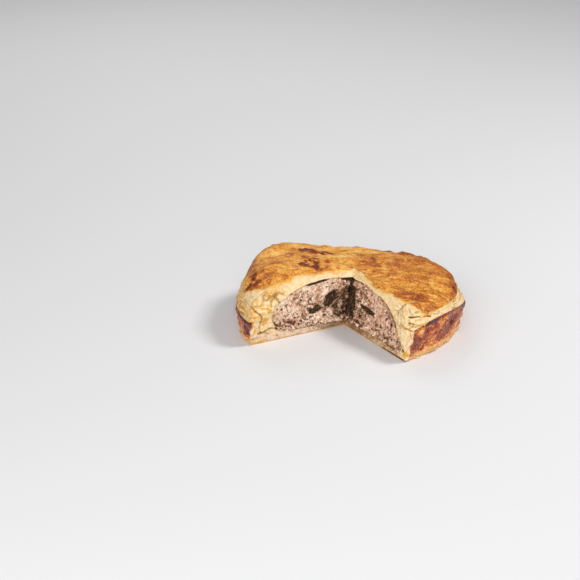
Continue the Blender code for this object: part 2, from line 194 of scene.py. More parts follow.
# Where juice has stained the mince brown:
STAINS = {
    "left": [
        (0.48, 2.2, [(57.2, 15.3), (52.3, 13.8), (47.4, 11.7)]),
        (0.45, 1.6, [(52.7, 9.5), (49.1, 8.2)]),
        (0.42, 2.2, [(63.0, 12.5), (58.0, 11.0)]),
        (0.30, 3.0, [(15.0, 19.5), (20.0, 20.5)]),
        (0.24, 2.4, [(25.5, 20.0), (28.0, 19.0)]),
    ],
    "right": [
        (0.42, 2.2, [(14.0, 9.0), (24.0, 7.5)]),
        (0.36, 2.0, [(38.0, 11.0), (46.0, 12.0)]),
        (0.32, 2.6, [(15.0, 20.5), (20.0, 17.5), (27.0, 14.5)]),
    ],
}

# Where the browned wall laps round onto the left cut:
LAPPED_EDGE = [(1.0, 3.8, [(94, 28), (90.5, 22), (88.5, 16), (90.5, 10)])]

# The larger dark specks in the mince, along each cut and up.
SPECKS = {
    "left": [
        (45, 30.2), (57.3, 28.9), (65.3, 26.5), (61.5, 25.7), (58.6, 17), (69.6, 24.9), (48.2, 16.2),
        (41.7, 18.1), (46.9, 12.1), (43, 9.7), (60.9, 13.9), (63, 9.5), (59.5, 9), (35.9, 11.7), (40, 11.8),
    ],
    "right": [
        (23.3, 31.2), (33.1, 33.4), (25.1, 10.4), (39.6, 14.8), (36.6, 10.1), (46.4, 15.4), (43.5, 10.6),
        (55.7, 18.5), (59.7, 22.1), (52.3, 24.1),
    ],
}  # fmt: skip

# Painted shade of cracks along the lid's flank beside the right cut, with no relief: strength, half-width,
# corners (degrees, height).
FLANK_CRACK_SHADES = [
    (1.0, 0.9, [(-56, 33.3), (-54.3, 33.8), (-51.9, 33.8), (-49.6, 32.6), (-47.2, 32.4), (-44.3, 31.6)]),
    (0.6, 0.8, [(-52.7, 36.5), (-45.7, 36.1), (-37.8, 36)]),
    (0.5, 0.8, [(-40, 33.0), (-30, 33.5), (-22, 32)]),
]
MM_PER_DEGREE = 1.55
FLANK_CRACK_SHADE_LINES = [
    (strength, half, [(degrees * MM_PER_DEGREE, height) for degrees, height in corners])
    for strength, half, corners in FLANK_CRACK_SHADES
]


# --- Numbers and noise ---


def eased(low, high, value):
    """0 below low and 1 above high, with a smooth rise between them: t * t * (3 - 2 t)."""
    t = np.clip((value - low) / (high - low), 0.0, 1.0)
    return t * t * (3.0 - 2.0 * t)


def looked_up(table, key):
    """A table's value at each key, on straight lines between its entries."""
    return np.interp(key, list(table), list(table.values()))


def ring(table):
    """A table's values at each whole degree round the pie, with the corners at its entries smoothed away."""
    straight = np.interp(np.arange(360), list(table), list(table.values()), period=360)
    window = np.hanning(2 * SMOOTHED_DEGREES + 1)
    smoothed = np.convolve(np.tile(straight, 3), window / window.sum(), "same")
    return smoothed[360:720]


def around(values, degrees):
    """A ring's value at each angle."""
    return np.interp(degrees, np.arange(360), values, period=360)


def bearings(points):
    """The angle of points round the pie."""
    return np.degrees(np.arctan2(points[:, 1], points[:, 0]))


FOOT_RING, FILLING_RING = ring(FOOT_OUTLINE), ring(FILLING_OUTLINE)
SEAM_RING, RIM_RING = ring(SEAM_HEIGHTS), ring(RIM_HEIGHTS)
SEAM_EXTRA_RING, SHOULDER_EXTRA_RING = ring(SEAM_EXTRA), ring(SHOULDER_EXTRA)
SECTION_RINGS = [(ring(share), wider, higher) for share, wider, higher in SECTIONS]


def hashed(cells, seed):
    """A random number from 0 to 1 for each whole-numbered cell, from its coordinates mixed by large primes."""
    x, y, z = np.moveaxis(cells.astype(np.int64), -1, 0)
    mixed = (x * 374761393 + y * 668265263 + z * 1440662683 + seed * 974634777) & 0xFFFFFFFF
    mixed = ((mixed ^ (mixed >> 15)) * 2246822519) & 0xFFFFFFFF
    mixed = ((mixed ^ (mixed >> 13)) * 3266489917) & 0xFFFFFFFF
    return (mixed ^ (mixed >> 16)) / 2.0**32


def grain(points, size, seed=0):
    """Smooth noise from -1 to 1: a random value at each corner of cubes of this size, eased between."""
    scaled = points / size + 57.3
    low = np.floor(scaled)
    part = scaled - low
    part = part**3 * (part * (part * 6.0 - 15.0) + 10.0)
    total = 0.0
    for far_end in itertools.product((0, 1), repeat=3):
        weight = np.where(far_end, part, 1.0 - part).prod(-1)
        total = total + weight * hashed(low + far_end, seed)
    return total * 2.0 - 1.0


TILTED = np.array([[0.80, 0.36, 0.48], [-0.60, 0.48, 0.64], [0.0, -0.80, 0.60]])


def fractal(points, size, octaves, seed=0):
    """Noise summed over octaves, each half the size and strength, and turned so that no grid shows."""
    total, strength = 0.0, 1.0
    for octave in range(octaves):
        total = total + strength * grain(points, size, seed + octave)
        points = points @ TILTED
        size, strength = size * 0.5, strength * 0.5
    return total / (2.0 - 2.0 * strength)


def lumps(points, size, seed=0):
    """Cellular noise, with a random spot in each cube: how far off the nearest spot and the next one are.

    Also gives a random number that belongs to the nearest spot.
    """
    scaled = points / size
    low = np.floor(scaled)
    first = np.full(len(points), 9.0)
    second, number = first.copy(), first.copy()
    for step in itertools.product((-1, 0, 1), repeat=3):
        cube = low + step
        spot = cube + np.stack([hashed(cube, seed + axis) for axis in range(3)], -1)
        distance = np.linalg.norm(spot - scaled, axis=-1)
        closer = distance < first
        second = np.where(closer, first, np.minimum(second, distance))
        number = np.where(closer, hashed(cube, seed + 3), number)
        first = np.minimum(first, distance)
    return first, second, number


def terraced(height):
    """Steps in a smooth height, as torn sheets leave: flat, then up by 1 in each number's last fifth."""
    whole = np.floor(height)
    return whole + eased(0.8, 1.0, height - whole)


def slits(points, depth, spread, seed):
    """Slits between sheets: thin lines at each whole depth, broken off where noise is low."""
    number = np.round(depth)
    line = 1.0 - eased(0.0, 0.15, np.abs(depth - number))
    here = grain(points + number[:, None] * [13.0, 7.0, 5.0], spread, seed)
    return line * eased(0.0, 0.25, here)


def layered(depth, sharpness=1.5):
    """Stacked sheets seen from the side, 0 in the slit under each sheet and 1 at its lip."""
    share = depth - np.floor(depth)
    return np.sin(np.pi * share**sharpness) ** 0.7


def near_lines(across, height, lines):
    """How near places are to lines of (strength, half-width, corners): strength on a line, 0 beyond."""
    nearest = np.zeros(len(across))
    for strength, half, corners in lines:
        for (x, z), (end_x, end_z) in zip(corners[:-1], corners[1:]):
            step_x, step_z = end_x - x, end_z - z
            share = ((across - x) * step_x + (height - z) * step_z) / (step_x**2 + step_z**2)
            share = np.clip(share, 0.0, 1.0)
            away = np.hypot(across - x - share * step_x, height - z - share * step_z)
            nearest = np.maximum(nearest, strength * (1.0 - eased(0.25 * half, half, away)))
    return nearest


# --- From the neat pie to the uneven one ---


def corner(height):
    """The wedge's corner line at each height."""
    return CORNER_LOW + (CORNER_HIGH - CORNER_LOW) * (np.asarray(height)[..., None] / CORNER_HIGH[2])


def cut_frame(degrees, sense):
    """The level direction of a cut from the corner, and its normal, which points into the wedge."""
    angle = np.radians(degrees)
    way = np.array([np.cos(angle), np.sin(angle), 0.0])
    normal = np.cross(way, CORNER_HIGH - CORNER_LOW) * sense
    return way, normal / np.linalg.norm(normal)


CUTS = {"left": cut_frame(CUT_DEGREES["left"], -1.0), "right": cut_frame(CUT_DEGREES["right"], 1.0)}


def uneven_height(radius, height, degrees):
    """Neat height to real height: the seam and rim follow their rings, and the sections rise at the cuts."""
    rim, seam = around(RIM_RING, degrees), around(SEAM_RING, degrees)
    raised = (rim - RIM_HEIGHT) * (radius / RIM_RADIUS) ** 1.5
    lifted = sum(around(share, degrees) * looked_up(higher, height) for share, _, higher in SECTION_RINGS)
    inner = height + raised * eased(FILLING_FLOOR, SEAM_HEIGHT, height)
    inner = inner + lifted * eased(0.0, 24.0, radius) * (1.0 - eased(60.0, 80.0, radius))
    above = seam + (height - SEAM_HEIGHT) * (rim - seam) / (RIM_HEIGHT - SEAM_HEIGHT)
    outer = np.where(height <= SEAM_HEIGHT, height * seam / SEAM_HEIGHT, above)
    return inner + (outer - inner) * eased(OUTER_FROM, FOOT_RADIUS, radius)


def uneven_spread(radius, height, degrees):
    """What the neat radius is multiplied by: outlines of foot and filling, the sections, and the bends."""
    filled = around(FILLING_RING, degrees) / FILLING_RADIUS
    foot = around(FOOT_RING, degrees) / FOOT_RADIUS
    spread = filled + (foot - filled) * eased(FILLING_RADIUS, FOOT_RADIUS, radius)
    widened = sum(around(share, degrees) * looked_up(wider, height) for share, wider, _ in SECTION_RINGS)
    spread = spread * (1.0 + widened * (1.0 - eased(FILLING_RADIUS + 1.0, FOOT_RADIUS + 1.0, radius)))
    seam, shoulder = around(SEAM_EXTRA_RING, degrees), around(SHOULDER_EXTRA_RING, degrees)
    above = np.clip((height - SEAM_HEIGHT) / (RIM_HEIGHT - SEAM_HEIGHT), 0.0, 1.0)
    extra = np.minimum(height / SEAM_HEIGHT, 1.0) * seam + above * (shoulder - seam)
    return spread + extra * eased(FILLING_RADIUS + 2.0, FOOT_RADIUS - 2.0, radius) / np.maximum(radius, 1.0)


def place(radius, height, turn):
    """Neat radius and height, at a turn round the pie, to points of the uneven pie.

    A level ray leaves the corner line at the turn's angle. The point lies on it, at the radius's share of the
    way to the foot's outline. Also gives each point's distance from the corner, and from each cut's plane.
    """
    degrees = CUT_DEGREES["right"] + (CUT_DEGREES["left"] - CUT_DEGREES["right"]) * turn
    way = np.stack([np.cos(np.radians(degrees)), np.sin(np.radians(degrees))], -1)
    reach = np.full(len(radius), FOOT_RADIUS)
    real = height
    for _ in range(3):
        start = corner(real)[:, :2]
        edge = start + way * reach[:, None]
        bearing = bearings(edge)
        toward = (start * way).sum(-1)
        reach = np.sqrt(around(FOOT_RING, bearing) ** 2 - (start**2).sum(-1) + toward**2) - toward
        real = uneven_height(radius, height, bearing)
    spread = uneven_spread(radius, height, bearing)
    distance = radius / FOOT_RADIUS * reach * spread * FOOT_RADIUS / around(FOOT_RING, bearing)
    level = start + way * distance[:, None]
    puff = 1.0 - np.linalg.norm(level - PUFF_AT, axis=-1) / PUFF_RADIUS
    real = real + PUFF_HEIGHT * eased(0.0, 1.0, puff) * eased(FILLING_WAIST, RIM_HEIGHT, height)
    level = corner(real)[:, :2] + way * distance[:, None]
    beside = {
        side: distance * np.sin(np.radians(np.minimum(np.abs(degrees - CUT_DEGREES[side]), 90.0)))
        for side in CUTS
    }
    return np.column_stack([level, real]), distance, beside


def from_cut(points, side):
    """How far points are along a cut from the wedge's corner, and how far back behind it."""
    way, normal = CUTS[side]
    out_from_corner = points - corner(points[:, 2])
    return out_from_corner @ way, -(out_from_corner @ normal)


def outward(points):
    """Level directions away from the pie's middle."""
    away = points * [1.0, 1.0, 0.0]
    return away / np.maximum(np.linalg.norm(away, axis=-1, keepdims=True), 1e-6)


# --- Sections of the neat pie ---


def filling_side(height, gap):
    """The filling's radius at each height: an ellipse above its waist, and a rounded foot below it."""
    rise = np.clip((height - FILLING_WAIST) / (FILLING_TOP + gap - FILLING_WAIST), 0.0, 1.0)
    fall = np.clip((FILLING_WAIST - height) / (FILLING_WAIST - FILLING_FLOOR + gap), 0.0, 1.0)
    return (FILLING_RADIUS + gap) * np.sqrt(1.0 - rise**2) * (1.0 - fall**FOOT_POWER) ** (1.0 / FOOT_POWER)


def side_path(start, end, gap, count=80):
    """The filling's side between two heights, as points closer together near the start."""
    height = start + (end - start) * np.linspace(0.0, 1.0, count) ** 2
    return np.column_stack([filling_side(height, gap), height])


def top_path():
    """The lid's top from its middle to its shoulder: a dome that drops away past SHOULDER_FROM."""
    radius = np.linspace(0.0, SHOULDER_RADIUS, 120)
    height = RIM_HEIGHT + (MIDDLE_HEIGHT - RIM_HEIGHT) * (1.0 - (radius / RIM_RADIUS) ** 3)
    over = np.clip((radius - SHOULDER_FROM) / (SHOULDER_RADIUS - SHOULDER_FROM), 0.0, 1.0)
    return np.column_stack([radius, height - SHOULDER_DROP * over**2.5])


def flank_path():
    """The lid's flaky flank, from its shoulder down and out to the seam."""
    share = np.linspace(0.0, 1.0, 40)
    start = top_path()[-1, 1]
    radius = SHOULDER_RADIUS + (SEAM_RADIUS - SHOULDER_RADIUS) * share**1.4
    return np.column_stack([radius, start + (SEAM_HEIGHT + GAP / 2 - start) * share])


def wall_path():
    """The base crust's wall from its foot to the seam: it leans out, and bulges a little."""
    share = np.linspace(0.0, 1.0, 60)
    bulge = 0.9 * np.sin(np.pi * share) + 0.5 * np.exp(-((share - 0.04) / 0.04) ** 2)
    radius = FOOT_RADIUS - 1.0 + (SEAM_RADIUS - FOOT_RADIUS + 1.0) * share + bulge
    return np.column_stack([radius, (SEAM_HEIGHT - GAP / 2) * share])


def run_along(stretches, shares, out):
    """Radius and height at each out, on paths end to end. A path takes its share of out evenly by length."""
    result = np.zeros((len(out), 2))
    for path, start, end in zip(stretches, shares[:-1], shares[1:]):
        length = np.concatenate([[0.0], np.cumsum(np.linalg.norm(np.diff(path, axis=0), axis=1))])
        here = (out >= start) & (out <= end)
        at = (out[here] - start) / (end - start) * length[-1]
        result[here] = np.column_stack([np.interp(at, length, path[:, axis]) for axis in (0, 1)])
    return result


SEAM_LOW, SEAM_HIGH = SEAM_HEIGHT - GAP / 2, SEAM_HEIGHT + GAP / 2
TOP_SHARE = 0.75
LID_OUTSIDE = ([top_path(), flank_path()], [0.0, TOP_SHARE, 1.0])
LID_INSIDE = (
    [
        side_path(FILLING_TOP + GAP, SEAM_HIGH, GAP),
        np.array([[filling_side(np.array([SEAM_HIGH]), GAP)[0], SEAM_HIGH], [SEAM_RADIUS - LIP, SEAM_HIGH]]),
    ],
    [0.0, TOP_SHARE, 1.0],
)
FLOOR_SHARE, WALL_SHARE = 0.6, 0.85
ROUNDED = 55  # the step of the filling's side from which it curves in under the filling
BASE_OUTSIDE = ([np.array([[0.0, 0.0], [FOOT_RADIUS - 0.5, 0.0]]), wall_path()], [0.0, FLOOR_SHARE, 1.0])
BASE_INSIDE = (
    [
        np.vstack([[0.0, FILLING_FLOOR - GAP], side_path(SEAM_LOW, FILLING_FLOOR - GAP, GAP)[:ROUNDED:-1]]),
        side_path(SEAM_LOW, FILLING_FLOOR - GAP, GAP)[ROUNDED::-1],
        np.array([[filling_side(np.array([SEAM_LOW]), GAP)[0], SEAM_LOW], [SEAM_RADIUS - LIP, SEAM_LOW]]),
    ],
    [0.0, FLOOR_SHARE, WALL_SHARE, 1.0],
)


def between(inside, outside, out, up):
    """Straight lines across a shell, from the path that up = 0 follows to the one that up = 1 follows."""
    section = run_along(*inside, out) * (1.0 - up)[:, None] + run_along(*outside, out) * up[:, None]
    return section[:, 0], section[:, 1]


def filling_section(out, up):
    """A patch between the filling's four sides: floor, middle line, domed top and rounded side."""
    shoulder = side_path(FILLING_TOP, SEAM_HEIGHT, 0.0)
    side = side_path(SEAM_HEIGHT, FILLING_FLOOR, 0.0)[::-1]
    whole = [0.0, 1.0]
    floor = run_along([np.array([[0.0, FILLING_FLOOR], side[0]])], whole, out)
    top = run_along([shoulder], whole, out)
    middle = run_along([np.array([[0.0, FILLING_FLOOR], [0.0, FILLING_TOP]])], whole, up)
    edge = run_along([side], whole, up)
    out, up = out[:, None], up[:, None]
    corners = (1 - out) * ((1 - up) * [0.0, FILLING_FLOOR] + up * [0.0, FILLING_TOP])
    corners = corners + out * ((1 - up) * side[0] + up * side[-1])
    patch = floor * (1 - up) + top * up + middle * (1 - out) + edge * out - corners
    return patch[:, 0], patch[:, 1]


# --- Meshes ---


def mesh_piece(name, points, triangles, attributes, material, replaced=None):
    """An object from arrays of points (mm) and triangles, with each attribute's number at every point."""
    mesh = bpy.data.meshes.new(name)
    mesh.vertices.add(len(points))
    mesh.vertices.foreach_set("co", (points * MM).astype(np.float32).ravel())
    mesh.loops.add(triangles.size)
    mesh.loops.foreach_set("vertex_index", triangles.astype(np.int32).ravel())
    mesh.polygons.add(len(triangles))
    mesh.polygons.foreach_set("loop_start", np.arange(0, triangles.size, 3, dtype=np.int32))
    mesh.polygons.foreach_set("use_smooth", np.ones(len(triangles), dtype=bool))
    for key, values in attributes.items():
        attribute = mesh.attributes.new(key, "FLOAT", "POINT")
        attribute.data.foreach_set("value", values.astype(np.float32))
    mesh.update(calc_edges=True)
    mesh.validate()
    mesh.materials.append(material)
    made = bpy.data.objects.new(name, mesh)
    bpy.context.scene.collection.objects.link(made)
    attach(made, "root")
    if replaced:
        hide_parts(replaced)


def thinned(count, step):
    """For each row inside a sheet, the nearest row that is kept. The sheet's first and last rows stay."""
    kept = np.clip(np.round(np.arange(count) / step) * step, 1, count - 2).astype(int)
    kept[0], kept[-1] = 0, count - 1
    return kept


def sheet(grid, flip=False, thin=1):
    """Triangles over a grid of vertex numbers. Inside its edges a thinned sheet keeps one row in so many."""
    if thin > 1:
        inner = grid[np.ix_(thinned(grid.shape[0], thin), thinned(grid.shape[1], thin))]
        edge = np.ones(grid.shape, dtype=bool)
        edge[1:-1, 1:-1] = False
        grid = np.where(edge, grid, inner)
    a, b, c, d = grid[:-1, :-1], grid[1:, :-1], grid[1:, 1:], grid[:-1, 1:]
    halves = [np.stack(three, -1).reshape(-1, 3) for three in ((a, b, c), (a, c, d))]
    triangles = np.concatenate(halves)
    distinct = (triangles[:, 0] != triangles[:, 1]) & (triangles[:, 1] != triangles[:, 2])
    triangles = triangles[distinct & (triangles[:, 0] != triangles[:, 2])]
    return triangles[:, ::-1] if flip else triangles


HIDDEN = 9  # sheets that never show keep one row in so many


def edge_and_cuts(numbers):
    """A block's outer edge, and its two cuts, facing into the wedge."""
    return [sheet(numbers[-1].T, thin=HIDDEN), sheet(numbers[:, :, 0]), sheet(numbers[:, :, -1], flip=True)]


def solid_piece(name, node, points_of, grid, skins, material):
    """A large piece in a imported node's place: the closed skin of a box of parameters.

    grid holds the steps of out, up and turn, and points_of gives points and attributes for all three. skins
    says which sheets to join: it is called with the grid of vertex numbers [out, up, turn]. At out = 0 every
    turn is the same corner line. Vertices that no sheet uses are left out.
    """
    shape = tuple(len(steps) for steps in grid)
    numbers = np.arange(np.prod(shape)).reshape(shape)
    numbers[0] = numbers[0, :, :1]
    used, triangles = np.unique(np.concatenate(skins(numbers)), return_inverse=True)
    parameters = [steps[index] for steps, index in zip(grid, np.unravel_index(used, shape))]
    points, attributes = points_of(*parameters)
    mesh_piece(name, points, triangles.reshape(-1, 3), attributes, material, node)


def closer_at_ends(count, power=1.25):
    """Steps from 0 to 1 that are finer towards both ends."""
    even = np.linspace(-1.0, 1.0, count)
    return (np.sign(even) * (1.0 - (1.0 - np.abs(even)) ** power) + 1.0) / 2.0


# --- Baked pastry, common to both crusts ---

CUT_DEPTH = 2.6  # how far in behind a cut its relief fades out
CUT_LAYER = 2.4  # how thick the pastry's layers are where they are cut


def layer_warp(points):
    """How far the pastry's layers wander from their neat places."""
    return 1.5 * grain(points, 34.0, 20) + 0.9 * grain(points, 9.0, 21)


def lines_on_cut(points, side, wander):
    """How near points of a cut are to its folds and to its gilding."""
    along, _ = from_cut(points, side)
    wiggle = 1.2 * grain(points, 3.5, 104)
    along, height = along + 1.8 * wander - wiggle, points[:, 2] - 1.6 * wander + wiggle
    return near_lines(along, height, FOLDS[side]), near_lines(along, height, GILDED[side])


def creased_folds(points):
    """Crumpled dough: the height, up to 1, of pillows in two sizes, and how deep in a valley a point is."""
    wide = np.abs(fractal(points, 15.0, 2, 33))
    narrow = np.abs(grain(points, 6.0, 34))
    pillows = 0.7 * np.minimum(3.2 * wide, 1.0) ** 0.6 + 0.3 * np.minimum(2.5 * narrow, 1.0) ** 0.7
    valley = np.maximum(1.0 - eased(0.0, 0.07, wide), 0.6 * (1.0 - eased(0.0, 0.08, narrow)))
    return pillows, valley


# --- The lid ---

FLANK_LAYER = 3.1
FINE_LAYER = 1.1
MOST_CRUMPLED_AT = np.array([-92.0, -30.0])  # where the flank is at its most ragged


def lid_points(out, up, turn):
    """The lid: bevelled back from the cuts, blistered and streaked on top, layered on its flank and cuts."""
    radius, height = between(LID_INSIDE, LID_OUTSIDE, out, up)
    points, distance, beside = place(radius, height, turn)
    on_left = turn > 0.5
    flank = np.clip((out - TOP_SHARE) / (1.0 - TOP_SHARE), 0.0, 1.0)
    rise = up * (1.0 - flank)
    for side, (_, normal) in CUTS.items():
        stretch = np.clip(1.0 - beside[side] / BEVEL_REACH, 0.0, 1.0) ** 2
        back = looked_up(BEVELS[side], distance) * rise**BEVEL_POWER * stretch
        points = points - normal * back[:, None]

    warp = layer_warp(points)
    on_top = eased(0.5, 1.0, up) * (1.0 - eased(0.0, 0.15, flank))
    on_flank = eased(0.4, 1.0, up) * eased(0.0, 0.12, flank)
    swollen, blister, torn = lid_top(points)
    layers, sheets, cracks = lid_flank(points, warp)
    lifted = on_top * swollen
    pushed = on_flank * layers * (1.0 - eased(0.93, 1.0, flank))

    # Relief of the cuts: thin layers, torn and cracked, undercut by the filling, crumpled towards the rim.
    thick = 6.0 + 10.0 * (radius / RIM_RADIUS) ** 3
    through = up * thick + 0.9 * warp
    cut_sheets = layered(through / CUT_LAYER)
    cut_cracks = slits(points, through / CUT_LAYER, 8.0, 31) * eased(0.12, 0.3, up)
    crumpled = eased(52.0, 66.0, distance)
    tears = fractal(points, 6.0, 3, 30)
    pillows, valley = creased_folds(points)
    boundary = (1.0 - eased(0.0, 0.8, up * thick)) * eased(-0.35, 0.1, grain(points, 7.0, 35))
    sliced = 0.55 * (cut_sheets - 0.6) + 0.65 * tears - 0.4 * cut_cracks * crumpled - 1.6 * boundary
    sliced = sliced + crumpled * (4.8 * pillows - 3.2)

    points = points + UP * lifted[:, None] + outward(points) * pushed[:, None]
    golden, by_cut = np.full(len(points), -9.0), np.zeros(len(points))
    folds, gilt = np.zeros(len(points)), np.zeros(len(points))
    for side, (_, normal) in CUTS.items():
        on_cut = 1.0 - eased(0.0, CUT_DEPTH, beside[side])
        by_cut = np.maximum(by_cut, on_cut)
        along, back = from_cut(points, side)
        fold, gilded = lines_on_cut(points, side, tears)
        folds, gilt = np.maximum(folds, on_cut * fold), np.maximum(gilt, on_cut * gilded)
        past = back + 2.2 * tears - looked_up(GOLD_EDGES[side], np.maximum(along, 0.0))
        golden = np.maximum(golden, past / GOLD_EDGE_WIDTHS[side])
        points = points + normal * (on_cut * (sliced - 1.5 * fold) * (1.0 - flank**4))[:, None]

    # Unbrowned on the cuts and down the flank, with golden flecks.
    flecks = fractal(points * [1.0, 1.0, 1.7], 4.5, 3, 26)
    bearing = bearings(points)
    leftward = eased(160.0, 185.0, bearing % 360.0) * (1.0 - eased(230.0, 260.0, bearing % 360.0))
    inside = np.maximum(1.0 - eased(-1.4, 0.9, golden), 1.0 - eased(0.3, 0.6, up))
    golden_flecks = 0.5 * eased(0.12, 0.4, flecks) * crumpled
    on_side = eased(-0.02, 0.30, flank + 0.20 * tears)
    on_side = on_side * (0.98 - (0.30 + 0.48 * leftward) * eased(0.0, 0.4, flecks) - 0.20 * leftward)
    pale = np.maximum(inside * (1.0 - 0.2 * eased(0.1, 0.5, tears) - golden_flecks), on_side)

    # Painted shade: dark between layers, in folds and cracks, along the lid's lowest edge on the cuts, and
    # where the lid has come away from the filling.
    crease = np.where(flank > 0.1, 0.6 * cracks + 0.25 * (1.0 - sheets), by_cut * (0.5 * crumpled * cut_cracks))
    crease = crease + by_cut * (0.15 * (1.0 - cut_sheets) + 0.85 * crumpled * valley) - 0.25 * tears
    crease = np.maximum(crease, by_cut * np.maximum(boundary * np.where(on_left, 0.35, 0.8), 1.05 * folds))
    gaps = eased(20.0, 23.0, distance) * (1.0 - eased(40.0, 43.0, distance))
    gaps = (1.0 - eased(7.0, 9.0, distance)) + gaps
    shade_beneath = (up <= 0.0) * np.where(on_left, 1.4 * gaps, 0.8)
    crack_shade = near_lines(bearing * MM_PER_DEGREE, points[:, 2] + 0.8 * tears, FLANK_CRACK_SHADE_LINES)
    crease = np.maximum(crease, np.maximum(1.1 * crack_shade, shade_beneath * (1.0 - 0.8 * crumpled)))

    rough_end = by_cut * eased(60.0, 80.0, distance) * eased(0.1, 0.45, flecks)
    gilt_flank = (0.48 * leftward + 0.15 * eased(0.1, 0.5, flecks)) * on_flank
    gilt = np.maximum(gilt, np.maximum(0.9 * rough_end, gilt_flank))
    bake = lid_bake(points, blister, torn, flank)
    return points, {"pale": pale, "bake": bake, "crease": np.clip(crease, 0.0, 1.2), "gilt": gilt}


def lid_top(points):
    """The lid's top: how far it swells up, with its blisters and its torn skin for the browning."""
    swell = 0.9 * grain(points, 26.0, 1) + 0.55 * grain(points, 11.0, 2)
    blister = np.maximum(fractal(points, 13.0, 3, 5) - 0.18, 0.0) * 3.6
    streaked = points * [0.42, 1.0, 1.0] + 2.4 * grain(points, 17.0, 7)[:, None]
    torn = terraced(4.0 * fractal(streaked, 9.0, 4, 12))
    wrinkle = 0.34 * grain(streaked, 2.4, 8) + 0.20 * grain(points, 1.7, 9)
    return swell + blister + wrinkle + 0.22 * torn, blister, torn


def lid_flank(points, warp):
    """The lid's flank: how far it stands out, with its layers and the cracks between them."""
    depth = (points[:, 2] + 1.6 * warp) / FLANK_LAYER
    sheets, cracks = layered(depth), slits(points, depth, 10.0, 28)
    fine = layered((points[:, 2] + 1.2 * warp) / FINE_LAYER, 1.2)
    ragged = fractal(points * [1.0, 1.0, 1.6], 8.0, 3, 24)
    crumple = 1.0 - eased(45.0, 100.0, np.hypot(*(points[:, :2] - MOST_CRUMPLED_AT).T))
    stands = 0.9 * (sheets - 0.7) + 0.25 * fine + (1.1 + 1.4 * crumple) * ragged - 1.7 * cracks - 0.5
    return stands, sheets, cracks


def lid_bake(points, blister, torn, flank):
    """How brown the lid is, 0 to 1: streaks and patches of noise, the rim, blisters, and the burnt spots."""
    streaks = fractal(points * [0.45, 1.0, 0.6], 8.0, 4, 40)
    patches = fractal(points, 20.0, 4, 45)
    rim = eased(66.0, 84.0, np.linalg.norm(points[:, :2], axis=1))
    tone = hashed(np.repeat(np.floor(torn)[:, None], 3, axis=1), 3) - 0.5
    lip = eased(0.0, 0.5, torn - np.floor(torn))
    bake = 0.34 + 0.28 * streaks + 0.30 * patches + 0.10 * rim + 0.06 * blister + 0.16 * tone - 0.08 * lip
    speckled = fractal(points, 4.2, 4, 50)
    for x, y, wide, deep, dark in BURNT:
        away = np.hypot((points[:, 0] - x) / wide, (points[:, 1] - y) / deep) + 1.35 * speckled
        bake = bake + dark * (1.0 - eased(0.3, 1.2, away))
    bake = bake + 0.20 * eased(5.0, 40.0, points[:, 0]) - 0.07
    return np.clip(bake - 0.1 * flank, 0.0, 1.0)


def lid_skins(numbers):
    underneath = sheet(numbers[:, 0, :], flip=True, thin=HIDDEN)
    return [sheet(numbers[:, -1, :]), underneath, *edge_and_cuts(numbers)]


# --- The base crust ---

FLOOR_ROWS = 110


